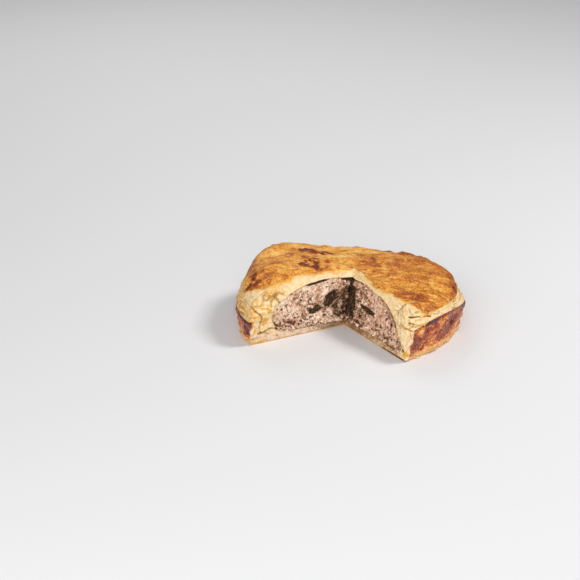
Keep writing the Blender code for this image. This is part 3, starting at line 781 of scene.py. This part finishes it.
def base_points(out, up, turn):
    """The base crust: crinkled and caramelised outside, ragged at its foot, layered where it is cut."""
    radius, height = between(BASE_OUTSIDE, BASE_INSIDE, out, up)
    points, distance, beside = place(radius, height, turn)
    on_left = turn > 0.5
    wall = eased(FLOOR_SHARE, FLOOR_SHARE + 0.02, out)
    rise = np.clip((out - FLOOR_SHARE) / (1.0 - FLOOR_SHARE), 0.0, 1.0)
    on_wall = wall * (1.0 - eased(0.0, 0.5, up))
    dents = fractal(points, 7.0, 4, 62)
    bubbles = np.maximum(fractal(points, 4.2, 2, 60), 0.0)
    flakes = fractal(points * [1.0, 1.0, 2.2], 5.0, 3, 66)
    foot = 1.0 - eased(0.10, 0.27, rise + 0.16 * flakes)
    pushed = 2.2 * dents + 1.6 * bubbles - 0.5 + foot * (1.3 * flakes + 0.5)
    pushed = on_wall * pushed * (1.0 - eased(0.96, 1.0, rise))

    # Relief of the cuts: layers, tears, folds towards the edge, and a step down to the seam.
    thick = 4.0 + 14.0 * eased(FLOOR_SHARE - 0.1, FLOOR_SHARE + 0.1, out)
    through = up * thick + 0.9 * layer_warp(points)
    cut_sheets = layered(through / CUT_LAYER)
    cut_cracks = slits(points, through / CUT_LAYER, 8.0, 71)
    tears = fractal(points, 5.0, 3, 70)
    pillows, valley = creased_folds(points)
    crumpled = eased(56.0, 70.0, distance) * eased(2.0, 8.0, points[:, 2])
    seam = eased(0.86, 1.0, up) * wall * eased(-0.2, 0.2, grain(points, 9.0, 73))
    sliced = 0.25 * (cut_sheets - 0.6) + 0.45 * tears - 0.4 * cut_cracks * crumpled
    sliced = sliced + crumpled * (3.4 * pillows - 2.3) - 0.5 * seam

    points = points + outward(points) * pushed[:, None]
    near_cut = np.zeros(len(points))
    above_table = eased(0.0, 1.2, points[:, 2])
    folds, gilt = np.zeros(len(points)), np.zeros(len(points))
    for side, (_, normal) in CUTS.items():
        on_cut = 1.0 - eased(0.0, CUT_DEPTH, beside[side])
        fold, gilded = lines_on_cut(points, side, tears)
        folds, gilt = np.maximum(folds, on_cut * fold), np.maximum(gilt, on_cut * gilded)
        near_cut = np.maximum(near_cut, 1.0 - eased(0.5, 4.5, beside[side] + 1.8 * tears))
        points = points + (normal * [1.0, 1.0, 0.0]) * (on_cut * (sliced - 1.3 * fold) * above_table)[:, None]

    along, _ = from_cut(points, "left")
    lapped = on_left * near_lines(along + 1.5 * tears, points[:, 2] + 1.5 * tears, LAPPED_EDGE)
    inside = np.maximum(near_cut, eased(0.02, 0.3, up)) * (1.0 - lapped)
    underside = (1.0 - eased(0.0, 0.16, up)) * (1.0 - wall) * 0.5
    # Painted shade: a darker band at the top of the wall, just under the lid's edge.
    shade_under_lid = eased(0.84, 0.97, rise + 0.05 * tears)
    bake = 0.50 + 0.40 * fractal(points * [1.0, 1.0, 1.7], 11.0, 3, 75) - 0.24 * bubbles - 0.22 * dents
    bake = wall_patches(bake + 0.20 * shade_under_lid - 0.75 * foot + 0.28 * lapped, points, tears)

    # Painted shade in the folds, slits and the step down to the seam, and darker along the cut's lowest edge,
    # which is scorched near the end of the right cut.
    scorched = np.where(on_left, 0.0, eased(48.0, 60.0, distance) * (1.0 - eased(80.0, 86.0, distance)))
    edge = near_cut * (1.0 - eased(0.2 + 0.8 * scorched, 1.3 + 1.0 * scorched, points[:, 2] + 0.6 * tears))
    edge = edge * np.where(on_left, 0.75, 0.85 + 0.4 * scorched)
    crease = crumpled * (0.45 * cut_cracks + 0.75 * valley) + 0.15 * (1.0 - cut_sheets) + 0.45 * seam
    crease = np.clip(np.maximum(crease - 0.2 * tears, np.maximum(1.1 * folds, edge)), 0.0, 1.2)
    soaked = near_cut * juiciness(distance, on_left) * (1.0 - eased(5.0, 10.0, points[:, 2] + 2.0 * tears))
    tones = {"pale": inside - underside, "bake": np.clip(bake, 0.0, 1.0), "crease": crease, "gilt": gilt}
    return points, {**tones, "soaked": soaked}


def wall_patches(bake, points, tears):
    """The wall's browning with its darker and lighter patches added."""
    bearing = bearings(points)
    for degrees, middle, wide, high, dark in WALL_PATCHES:
        turned_by = (bearing - degrees + 180.0) % 360.0 - 180.0
        away = np.hypot(turned_by / wide, (points[:, 2] - middle) / high) + 0.9 * tears
        bake = bake + dark * (1.0 - eased(0.3, 1.3, away))
    return bake


def juiciness(distance, on_left):
    """How soaked the floor is where it is cut, 0 to 1: most at the wedge's corner, and less beyond it."""
    far_from_corner = np.where(on_left, eased(10.0, 52.0, distance), eased(20.0, 75.0, distance))
    everywhere = np.where(on_left, 0.30, 0.60 * (1.0 - eased(70.0, 80.0, distance)))
    return np.maximum(everywhere, 1.0 - far_from_corner)


def base_skins(numbers):
    outside, inside = numbers[:, 0, :], numbers[:, -1, :]
    underneath = sheet(outside[: FLOOR_ROWS + 1], flip=True, thin=HIDDEN)
    wall = sheet(outside[FLOOR_ROWS:], flip=True)
    return [underneath, wall, sheet(inside, thin=HIDDEN), *edge_and_cuts(numbers)]


# --- The filling ---

MINCE_DEPTH = 2.0  # how far in behind a cut the mince's relief fades out


def busyness(points):
    """Noise from about -1 to 1 that is high where the mince is busy."""
    return fractal(points, 14.0, 2, 92)


def mince(points):
    """Relief and colour of cut mince: rounded grains, finer grains on them, and ragged pores between them, with
    painted shade in the pores and in the creases between grains.

    It is calmer and paler near the top, and busier low down and in patches.
    """
    bent = points + 0.8 * np.stack([grain(points, 2.6, 80 + axis) for axis in range(3)], -1)
    near, following, number = lumps(bent, 2.3, 83)
    fine_near, _, fine_number = lumps(bent, 1.1, 87)
    busy = eased(-0.45, 0.45, busyness(points) + 0.014 * (20.0 - points[:, 2]))
    crease = (1.0 - eased(0.0, 0.22, following - near)) * eased(-0.2, 0.3, grain(points, 2.4, 88))
    crease = crease * (0.5 + 0.45 * busy)
    pore = eased(0.30, 0.44, fractal(points, 2.2, 2, 93) + 0.16 * (busy - 0.5))
    relief = 1.1 * (0.45 - near) - 0.4 * crease + 0.40 * (0.4 - fine_near) - 1.2 * pore
    relief = relief + 0.9 * fractal(points, 12.0, 2, 97)
    tint = 0.42 + (0.34 + 0.16 * busy) * (number + fine_number - 1.0)
    tint = tint + 0.24 * fractal(points, 6.0, 2, 99)
    return relief, {"crease": crease, "tint": tint - 0.05 * busy + 0.07, "pore": pore}


def filling_points(out, up, turn):
    """The filling: mince where it is cut, and sunk away from the lid in two hollows beside the left cut."""
    radius, height = filling_section(out, up)
    points, distance, beside = place(radius, height, turn)
    on_left = turn > 0.5
    relief, attributes = mince(points)
    along, _ = from_cut(points, "left")
    hollow = np.zeros(len(points))
    for middle, half, depth in GAPS_UNDER_LID:
        near = np.clip(1.0 - ((along - middle) / half) ** 2, 0.0, 1.0)
        near = near * np.clip(1.0 - beside["left"] / GAP_REACH, 0.0, 1.0)
        hollow = np.maximum(hollow, near)
        points = points - UP * (depth * near * eased(0.6, 1.0, up))[:, None]

    ragged = 5.0 * fractal(points, 7.0, 3, 101)
    stain = mince_stain_and_shade(points, distance, beside, on_left, ragged)
    attributes["stain"] = stain
    attributes["tint"] = attributes["tint"] - np.where(on_left, 0.0, 0.15)
    # Painted shade: a thin dark line along the filling's top edge, darkest in the hollows under the lid.
    attributes["pore"] = np.maximum(attributes["pore"], (up >= 1.0) * (0.35 + 0.9 * eased(0.1, 0.5, hollow)))
    from_edge = np.minimum(np.minimum(1.0 - up, 1.0 - out) * 34.0, 9.0)
    relief = relief - 0.4 * (1.0 - eased(0.0, 0.9, from_edge)) - 0.8 * stain * eased(-0.1, 0.3, ragged / 5.0)
    for side, (_, normal) in CUTS.items():
        on_cut = 1.0 - eased(0.0, MINCE_DEPTH, beside[side])
        points = points + normal * (on_cut * relief)[:, None]
    return points, attributes


def mince_stain_and_shade(points, distance, beside, on_left, ragged):
    """How stained and shaded the mince is, 0 to 1: a ragged stained column by the wedge's corner, painted shade
    along its corner line, and STAINS.
    """
    height = points[:, 2]
    reach = np.where(on_left, np.abs(distance - 4.0 + ragged) / 15.0, (distance + 0.6 * ragged) / 11.0)
    belt = eased(6.0, 12.0, height) * (1.0 - eased(30.0, 38.0, height))
    lighter = eased(0.45, 0.75, distance / 9.0 + 0.04 * ragged) * (1.0 - eased(0.9, 1.3, distance / 9.0))
    column = np.where(on_left, 0.62 - 0.25 * lighter, 1.0)
    stain = (1.0 - eased(0.3, 1.1, reach)) * belt * column
    wander = grain(points, 3.0, 103)
    # Painted shade along the wedge's inner corner, where the two cuts meet.
    corner_shade = 0.95 * (1.0 - eased(0.8, 2.6, distance + 0.8 * wander)) * eased(8.0, 14.0, height)
    stain = np.maximum(stain, corner_shade)
    for side in CUTS:
        on_cut = 1.0 - eased(0.0, MINCE_DEPTH, beside[side])
        along, _ = from_cut(points, side)
        stain = np.maximum(stain, on_cut * near_lines(along + wander, height - wander, STAINS[side]))
    return stain


def filling_skins(numbers):
    top = sheet(numbers[:, -1, :], thin=HIDDEN)
    return [top, sheet(numbers[:, 0, :], flip=True, thin=HIDDEN), *edge_and_cuts(numbers)]


# --- Shader maths ---


class Value:
    """A socket in a material's sums. Each operator adds the Math node that does it."""

    def __init__(self, graph, socket):
        self.graph, self.socket = graph, socket

    def _math(self, operation, *values):
        return self.graph.node("ShaderNodeMath", {"operation": operation}, dict(enumerate(values)))

    def __add__(self, other):
        return self._math("ADD", self, other)

    def __radd__(self, other):
        return self._math("ADD", other, self)

    def __sub__(self, other):
        return self._math("SUBTRACT", self, other)

    def __rsub__(self, other):
        return self._math("SUBTRACT", other, self)

    def __mul__(self, other):
        return self._math("MULTIPLY", self, other)

    def __rmul__(self, other):
        return self._math("MULTIPLY", other, self)


def set_stops(elements, stops):
    """Sets a ramp's stops. A new ramp already has two."""
    for index, (position, colour) in enumerate(stops):
        element = elements[index] if index < 2 else elements.new(position)
        element.position, element.color = position, (*colour, 1.0)


class Graph:
    """A material's nodes, ending in one Principled shader."""

    def __init__(self, name):
        self.material = bpy.data.materials.new(name)
        self.material.use_nodes = True
        self.tree = self.material.node_tree
        self.shader = self.tree.nodes["Principled BSDF"]
        self.coordinates = self.node("ShaderNodeTexCoord", {}, {}, "Object")

    def node(self, kind, settings, sockets, output=0):
        """Adds a node: its settings, with a ramp's stops among them, then values or links by socket."""
        made = self.tree.nodes.new(kind)
        for key, value in settings.items():
            if key == "stops":
                set_stops(made.color_ramp.elements, value)
            else:
                setattr(made, key, value)
        for key, value in sockets.items():
            self.plug(made.inputs[key], value)
        return Value(self, made.outputs[output])

    def plug(self, socket, value):
        if isinstance(value, Value):
            self.tree.links.new(value.socket, socket)
        else:
            socket.default_value = value

    def attribute(self, name):
        return self.node("ShaderNodeAttribute", {"attribute_name": name}, {}, "Fac")

    def noise(self, size_mm, detail=4.0, stretch=(1.0, 1.0, 1.0), distortion=0.0):
        """Noise whose features are about this many millimetres, longer along an axis with a smaller stretch."""
        mapped = self.node("ShaderNodeMapping", {}, {"Vector": self.coordinates, "Scale": stretch})
        look = {"Scale": 1.0 / (size_mm * MM), "Detail": detail, "Distortion": distortion}
        return self.node("ShaderNodeTexNoise", {}, {"Vector": mapped, **look})

    def step(self, low, high, value):
        """0 below low and 1 above high, eased between."""
        ranged = {"interpolation_type": "SMOOTHSTEP", "clamp": True}
        return self.node("ShaderNodeMapRange", ranged, {"Value": value, "From Min": low, "From Max": high})

    def mix(self, factor, first, second):
        """Two colours blended by a factor."""
        colours = [(*value, 1.0) if isinstance(value, tuple) else value for value in (first, second)]
        blended = {"data_type": "RGBA", "clamp_factor": True}
        return self.node("ShaderNodeMix", blended, {0: factor, 6: colours[0], 7: colours[1]}, 2)

    def ramp(self, factor, stops):
        """A colour for each factor, from (position, colour) stops."""
        return self.node("ShaderNodeValToRGB", {"stops": stops}, {"Fac": factor})

    def bump(self, height, depth_mm):
        """Normals from a height of 0 to 1 that stands for this depth."""
        return self.node("ShaderNodeBump", {}, {"Strength": 1.0, "Distance": depth_mm * MM, "Height": height})

    def finish(self, **inputs):
        for key, value in inputs.items():
            self.plug(self.shader.inputs[key.replace("_", " ")], value)
        return self.material


GOLD = [
    (0.0, (0.93, 0.60, 0.19)),
    (0.18, (0.85, 0.43, 0.072)),
    (0.40, (0.66, 0.235, 0.022)),
    (0.60, (0.44, 0.115, 0.012)),
    (0.80, (0.26, 0.048, 0.008)),
    (1.0, (0.12, 0.020, 0.005)),
]
CARAMEL = [
    (0.0, (0.84, 0.48, 0.20)),
    (0.18, (0.79, 0.28, 0.048)),
    (0.38, (0.54, 0.108, 0.012)),
    (0.58, (0.28, 0.042, 0.016)),
    (0.80, (0.13, 0.021, 0.032)),
    (1.0, (0.035, 0.009, 0.010)),
]


PASTRY_GLOW = {"Subsurface_Radius": (1.0, 0.5, 0.2), "Subsurface_Scale": 0.0015}


def crumb_colour(graph, crease, gilt, soaked=None):
    """Unbrowned pastry: cream, golden where it is gilded, with painted shade in its folds and slits, olive and
    then brown.

    Where juice has soaked it, it is mottled pink and brown.
    """
    mottle = graph.noise(2.6, 4.0)
    crumb = graph.mix(graph.step(0.36, 0.68, mottle), (0.91, 0.715, 0.445), (0.84, 0.575, 0.255))
    if soaked:
        juicy = graph.ramp(
            0.92 * soaked + 1.3 * (graph.noise(1.3, 3.0) - 0.5) + 1.5 * (graph.noise(4.0, 3.0) - 0.5),
            [
                (0.30, (0.79, 0.59, 0.41)),
                (0.50, (0.57, 0.385, 0.26)),
                (0.75, (0.40, 0.24, 0.125)),
                (1.0, (0.25, 0.120, 0.048)),
            ],
        )
        crumb = graph.mix(graph.step(0.05, 0.30, soaked), crumb, juicy)
    golden = graph.mix(graph.step(0.15, 0.85, gilt + 0.8 * (mottle - 0.5)), crumb, (0.74, 0.37, 0.048))
    # Painted shade in folds and slits: olive, then near black where deepest.
    olive = graph.mix(0.9 * graph.step(0.12, 0.75, crease), golden, (0.45, 0.225, 0.033))
    return graph.mix(graph.step(0.8, 1.15, crease), olive, (0.075, 0.030, 0.009))


def lid_material():
    graph = Graph("browned_lid")
    pale, bake, crease, gilt = (graph.attribute(name) for name in ("pale", "bake", "crease", "gilt"))
    streaks = graph.noise(3.0, 6.0, (0.50, 1.0, 1.0), 1.1)
    freckles = graph.noise(1.4, 4.0)
    browning = bake + 1.0 * (streaks - 0.5) + 1.05 * (freckles - 0.5)
    gold = graph.ramp(browning, GOLD)
    paler = pale + 0.5 * (freckles - 0.5) + 0.5 * (streaks - 0.5)
    buttery = graph.mix(graph.step(0.18, 0.48, paler), gold, (0.83, 0.50, 0.15))
    colour = graph.mix(graph.step(0.45, 0.80, paler), buttery, crumb_colour(graph, crease, gilt))
    rough = 0.46 + 0.22 * pale + 0.20 * (streaks - 0.3)
    height = 0.6 * streaks + 0.4 * graph.noise(0.7, 3.0)
    normal = graph.bump(height, 0.7)
    dull = {"Roughness": rough, "Specular_IOR_Level": 0.25}
    return graph.finish(Base_Color=colour, Normal=normal, Subsurface_Weight=0.05, **dull, **PASTRY_GLOW)


def base_material():
    graph = Graph("base_crust_baked")
    pale, bake, crease, gilt = (graph.attribute(name) for name in ("pale", "bake", "crease", "gilt"))
    blotches = graph.noise(2.4, 5.0, distortion=1.4)
    specks = graph.noise(1.1, 4.0)
    browning = bake + 1.5 * (blotches - 0.5) + 1.3 * (specks - 0.5)
    caramel = graph.ramp(browning, CARAMEL)
    crumb = crumb_colour(graph, crease, gilt, graph.attribute("soaked"))
    colour = graph.mix(graph.step(0.3, 0.9, pale + 0.4 * (specks - 0.5)), caramel, crumb)
    rough = 0.20 + 0.36 * pale + 0.25 * specks
    height = 0.7 * blotches + 0.3 * specks
    normal = graph.bump(height, 1.1)
    coat = {"Coat_Weight": 0.3 * graph.step(0.9, 0.2, pale), "Coat_Roughness": 0.15}
    shine = {"Roughness": rough, "Specular_IOR_Level": 0.35, **coat}
    return graph.finish(Base_Color=colour, Normal=normal, Subsurface_Weight=0.04, **shine, **PASTRY_GLOW)


def filling_material():
    graph = Graph("minced_boar")
    crease, tint, pore, stain = (graph.attribute(name) for name in ("crease", "tint", "pore", "stain"))
    fibres = graph.noise(0.9, 3.0)
    clots = graph.noise(2.6, 3.0)
    meat = graph.ramp(
        tint + 0.35 * (fibres - 0.5),
        [
            (0.06, (0.26, 0.100, 0.045)),
            (0.22, (0.47, 0.240, 0.135)),
            (0.40, (0.68, 0.410, 0.265)),
            (0.56, (0.82, 0.565, 0.405)),
            (0.74, (0.97, 0.810, 0.640)),
        ],
    )
    # Darkest stops: juice stains, and painted shade along the wedge's inner corner.
    soaked = graph.ramp(
        0.43 + 0.6 * tint + 2.3 * (clots - 0.5) + 0.4 * (fibres - 0.5) - 0.65 * stain,
        [
            (0.12, (0.020, 0.008, 0.004)),
            (0.34, (0.075, 0.025, 0.008)),
            (0.52, (0.210, 0.080, 0.026)),
            (0.70, (0.400, 0.210, 0.105)),
            (0.88, (0.600, 0.390, 0.250)),
        ],
    )
    stained = graph.mix(graph.step(0.10, 0.50, stain + 0.5 * (clots - 0.5)), meat, soaked)
    # Painted shade: brown in the creases between grains, near black in pores and in the gaps under the lid.
    creased = graph.mix(0.75 * graph.step(0.15, 0.95, crease), stained, (0.21, 0.085, 0.035))
    colour = graph.mix(0.92 * graph.step(0.25, 0.85, pore), creased, (0.070, 0.029, 0.012))
    normal = graph.bump(fibres, 0.45)
    glow = {"Subsurface_Weight": 0.06, "Subsurface_Radius": (1.0, 0.4, 0.25), "Subsurface_Scale": 0.0012}
    return graph.finish(Base_Color=colour, Roughness=0.34 + 0.3 * fibres, Normal=normal, **glow)


def speck_material():
    graph = Graph("dark_specks")
    colour = graph.ramp(graph.attribute("tone"), [(0.0, (0.030, 0.010, 0.006)), (1.0, (0.21, 0.075, 0.030))])
    return graph.finish(Base_Color=colour, Roughness=0.4 + 0.3 * graph.noise(0.6), Specular_IOR_Level=0.25)


def fat_material():
    graph = Graph("pale_grains")
    tone = graph.attribute("tone") + 0.5 * (graph.noise(0.6) - 0.5)
    colour = graph.ramp(tone, [(0.0, (0.66, 0.41, 0.28)), (0.5, (0.84, 0.61, 0.45)), (1.0, (0.97, 0.83, 0.68))])
    return graph.finish(Base_Color=colour, Roughness=0.3 + 0.3 * tone)


def mushroom_material():
    graph = Graph("mushroom_flesh")
    mottle = graph.noise(1.5, 4.0)
    colour = graph.ramp(
        mottle, [(0.36, (0.012, 0.008, 0.005)), (0.54, (0.052, 0.026, 0.010)), (0.70, (0.22, 0.115, 0.045))]
    )
    rough = 0.4 + 0.3 * mottle
    normal = graph.bump(mottle, 0.4)
    return graph.finish(Base_Color=colour, Roughness=rough, Normal=normal, Specular_IOR_Level=0.25)


# --- Scattered pieces ---


def scattered(name, grids, template, attributes, material):
    """One piece made of many small closed meshes: grids holds each one's points, template one's triangles."""
    count, size = grids.shape[:2]
    triangles = (template[None] + np.arange(count)[:, None, None] * size).reshape(-1, 3)
    spread = {key: np.repeat(values, size) for key, values in attributes.items()}
    mesh_piece(name, grids.reshape(-1, 3), triangles, spread, material)


FLAKE_COUNTS = (150, 90, 90)  # on the flank, along the seam and round the foot
FLAKE_LONG, FLAKE_WIDE = 7, 4  # points along and across a flake
FLAKE_HALF_THICK = 0.28
FLAKE_SET_IN = 0.9
LOWEST = 0.1  # flakes at the foot stay this far off the table


def flake_template():
    """Triangles of one flake: an upper and a lower sheet of the same grid, joined along their edges."""
    upper = np.arange(FLAKE_LONG * FLAKE_WIDE).reshape(FLAKE_LONG, FLAKE_WIDE)
    lower = upper + upper.size
    edge = np.ones(upper.shape, dtype=bool)
    edge[1:-1, 1:-1] = False
    return np.concatenate([sheet(upper), sheet(np.where(edge, upper, lower), flip=True)])


def flake_grids(start, long_way, out_way, lengths, widths, curl, seed):
    """Points of flakes: start + long_way * a * length + out_way * b * width, bowed by curl, thickest inside.

    a runs from -1 to 1 along a flake and b from 0 to 1 to its ragged outer edge. The ends taper.
    """
    a, b = np.meshgrid(np.linspace(-1.0, 1.0, FLAKE_LONG), np.linspace(0.0, 1.0, FLAKE_WIDE), indexing="ij")
    a, b = a.ravel()[None, :, None], b.ravel()[None, :, None]
    lengths, widths, curl = (values[:, None, None] for values in (lengths, widths, curl))
    start, long_way, out_way = start[:, None], long_way[:, None], out_way[:, None]
    across = np.cross(long_way, out_way)
    spine = start + long_way * a * lengths
    torn = 1.0 + 0.45 * grain(spine.reshape(-1, 3), 1.8, seed).reshape(len(start), -1, 1)
    middle = spine + out_way * b * widths * (1.0 - 0.75 * np.abs(a) ** 2.2) * torn
    middle = middle + across * curl * (a**2 + 0.8 * b**2)
    thick = FLAKE_HALF_THICK * (1.0 - a**2) * (1.0 - b)
    return np.concatenate([middle + across * thick, middle - across * thick], axis=1)


def unit(vectors):
    return vectors / np.linalg.norm(vectors, axis=1, keepdims=True)


def drawn(random, *ranges):
    """A random number for each flake, with a range for each of FLAKE_COUNTS."""
    return random.uniform(*np.repeat(ranges, FLAKE_COUNTS, axis=0).T)


def pastry_flakes(material):
    """Loose flakes: long ones round the lid's flank, short ones along the seam, and a fringe round the foot."""
    random = np.random.default_rng(5)
    flank, seam, foot = FLAKE_COUNTS
    turn = random.uniform(0.015, 0.985, sum(FLAKE_COUNTS))
    lid_out = np.concatenate([random.uniform(TOP_SHARE + 0.03, 0.97, flank), random.uniform(0.95, 0.995, seam)])
    lid_at, _ = lid_points(lid_out, np.ones(flank + seam), turn[:-foot])
    base_out = random.uniform(FLOOR_SHARE + 0.02, FLOOR_SHARE + 0.07, foot)
    base_at, _ = base_points(base_out, np.zeros(foot), turn[-foot:])
    at = np.concatenate([lid_at, base_at])
    away = outward(at)
    drop = drawn(random, (-0.9, 0.1), (-2.2, -0.6), (-0.5, 0.3))
    out_way = unit(away + UP * drop[:, None])
    long_way = np.cross(UP, away) + UP * random.normal(0.0, 0.10, len(at))[:, None]
    long_way = unit(long_way - out_way * (long_way * out_way).sum(-1)[:, None])
    lengths = drawn(random, (2.0, 7.0), (1.2, 4.5), (1.2, 4.5))
    widths = drawn(random, (1.4, 2.8), (1.2, 2.4), (1.2, 2.4))
    curl = random.uniform(-0.5, 0.5, len(at))
    grids = flake_grids(at - away * FLAKE_SET_IN, long_way, out_way, lengths, widths, curl, 130)
    grids[:, :, 2] = np.maximum(grids[:, :, 2], LOWEST)
    tones = {
        "pale": random.uniform(0.35, 1.0, len(at)),
        "bake": random.uniform(0.2, 0.6, len(at)),
        "crease": np.zeros(len(at)),
        "gilt": random.uniform(0.0, 0.7, len(at)),
    }
    scattered("pastry_flakes", grids, flake_template(), tones, material)


def ball_grid(rows, columns):
    """Points and triangles of a unit ball, with one vertex at each pole."""
    down = np.linspace(0.0, np.pi, rows)[:, None]
    turned = np.linspace(0.0, 2 * np.pi, columns, endpoint=False)[None, :]
    level = np.sin(down)
    ball = np.stack([level * np.cos(turned), level * np.sin(turned), np.cos(down) + 0 * turned], -1)
    numbers = np.arange(rows * columns).reshape(rows, columns)
    numbers[0], numbers[-1] = numbers[0, 0], numbers[-1, 0]
    used, triangles = np.unique(sheet(np.column_stack([numbers, numbers[:, :1]])), return_inverse=True)
    return ball.reshape(-1, 3)[used], triangles.reshape(-1, 3)


def grains(name, middle, sizes, seed, material):
    """Bits standing in the cut mince: unit balls, squashed and turned, with their middles on its surface."""
    random = np.random.default_rng(seed)
    ball, template = ball_grid(6, 8)
    count = len(middle)
    frames = np.linalg.qr(random.normal(size=(count, 3, 3)))[0]
    half = random.uniform(*sizes, (count, 1)) * random.uniform(0.6, 1.4, (count, 3))
    grids = middle[:, None] + (ball[None] * half[:, None]) @ frames
    scattered(name, grids, template, {"tone": random.uniform(0.0, 1.0, count)}, material)


def strewn(tried, seed):
    """Random places over both cuts of the filling, with how busy the mince is there, and how stained and
    shaded.
    """
    random = np.random.default_rng(seed)
    out, up = random.uniform(0.02, 0.97, tried) ** 0.7, random.uniform(0.03, 0.96, tried)
    turn = random.integers(0, 2, tried).astype(float)
    middle, attributes = filling_points(out, up, turn)
    return middle, busyness(middle), attributes["stain"]


def large_specks():
    """The places of the larger dark specks, on the mince's relief."""
    places = []
    for side, marks in SPECKS.items():
        along, height = np.array(marks).T
        way, normal = CUTS[side]
        flat = corner(height) + way * along[:, None]
        relief, _ = mince(flat)
        places.append(flat + normal * relief[:, None])
    return np.concatenate(places)


# --- Mushroom pieces ---


def mushroom_piece(name, side, out, height, half_sizes, slope, material):
    """A lumpy ellipsoid lying across a cut, sliced off level with it: reach x (1 + noise) on a ball's grid."""
    way, normal = CUTS[side]
    middle = corner(height) + way * out
    lean = np.radians(slope)
    long_way = way * np.cos(lean) + UP * np.sin(lean)
    across = np.cross(normal, long_way)
    ball, triangles = ball_grid(36, 60)
    reach = 0.98 + 0.80 * fractal(ball * 2.4 + middle, 1.5, 3, 110)
    points = middle + (ball * np.array(half_sizes) * reach[:, None]) @ np.array([long_way, across, normal])
    depth = (points - middle) @ normal
    proud = 0.6 + 0.6 * fractal(points, 2.2, 3, 115)
    points = points - normal * np.maximum(depth - proud, 0.0)[:, None]
    mesh_piece(name + "_flesh", points, triangles, {}, material, name)


# --- Stage ---


def floor():
    bpy.ops.mesh.primitive_plane_add(size=6.0, location=(0.0, 0.0, 0.0))
    made = bpy.context.object
    made.name = "floor"
    graph = Graph("pale_floor")
    made.data.materials.append(graph.finish(Base_Color=(0.80, 0.80, 0.81, 1.0), Roughness=0.7))


def aim(made, target):
    made.rotation_euler = (Vector(target) - made.location).to_track_quat("-Z", "Y").to_euler()


def light(name, place_at, size, watts, colour):
    data = bpy.data.lights.new(name, "AREA")
    data.shape, data.size, data.energy, data.color = "SQUARE", size, watts, colour
    made = bpy.data.objects.new(name, data)
    made.location = place_at
    aim(made, (0.0, 0.0, 0.02))
    bpy.context.scene.collection.objects.link(made)


def studio():
    floor()
    light("key", (0.86, 0.06, 1.08), 0.35, 10.5, (1.0, 0.985, 0.96))
    light("front", (-0.20, -1.25, 0.50), 0.90, 11.0, (1.0, 0.99, 0.98))
    light("fill", (-0.90, -0.75, 0.65), 0.80, 3.0, (0.97, 0.98, 1.0))
    light("back", (-0.30, 1.00, 0.80), 0.70, 3.0, (1.0, 0.99, 0.97))
    world = bpy.data.worlds.new("studio")
    world.use_nodes = True
    world.node_tree.nodes["Background"].inputs["Color"].default_value = (0.95, 0.97, 1.0, 1.0)
    world.node_tree.nodes["Background"].inputs["Strength"].default_value = 0.25
    bpy.context.scene.world = world
    bpy.context.scene.view_settings.view_transform = "Standard"


CAMERA_AT = (-0.048, -1.249, 0.5633)
CAMERA_DOWN_DEGREES = 23.18
CAMERA_LENS = 105.1


def camera():
    data = bpy.data.cameras.new("camera")
    data.lens, data.sensor_width, data.clip_start = CAMERA_LENS, 36.0, 0.05
    made = bpy.data.objects.new("camera", data)
    made.location = CAMERA_AT
    made.rotation_euler = (np.radians(90.0 - CAMERA_DOWN_DEGREES), 0.0, 0.0)
    bpy.context.scene.collection.objects.link(made)
    bpy.context.scene.camera = made


# --- The pie ---


def build_pie():
    outs = np.concatenate([np.linspace(0.0, TOP_SHARE, 108)[:-1], np.linspace(TOP_SHARE, 1.0, 40)])
    grid = outs, np.linspace(0.0, 1.0, 30), closer_at_ends(500)
    crust = lid_material()
    solid_piece("lid_pastry", "lid", lid_points, grid, lid_skins, crust)
    pastry_flakes(crust)

    floor_outs = np.linspace(0.0, FLOOR_SHARE, FLOOR_ROWS + 1)
    outs = np.concatenate([floor_outs, np.linspace(FLOOR_SHARE, 1.0, 64)[1:]])
    grid = outs, np.linspace(0.0, 1.0, 24), closer_at_ends(500)
    solid_piece("base_pastry", "base_crust", base_points, grid, base_skins, base_material())

    grid = np.linspace(0.0, 1.0, 230), np.linspace(0.0, 1.0, 120), closer_at_ends(60, 2.5)
    solid_piece("mince_filling", "filling", filling_points, grid, filling_skins, filling_material())

    middle, noise, stain = strewn(420, 21)
    grains("dark_specks", middle[(noise > 0.0) | (stain > 0.3)], (0.3, 0.65), 23, speck_material())
    grains("large_specks", large_specks(), (0.75, 1.15), 24, speck_material())
    middle, noise, stain = strewn(700, 22)
    grains("pale_grains", middle[(stain < 0.2) & (noise < 0.25)], (0.35, 0.75), 25, fat_material())

    flesh = mushroom_material()
    for row in MUSHROOMS:
        mushroom_piece(*row, flesh)


build_pie()
camera()
studio()
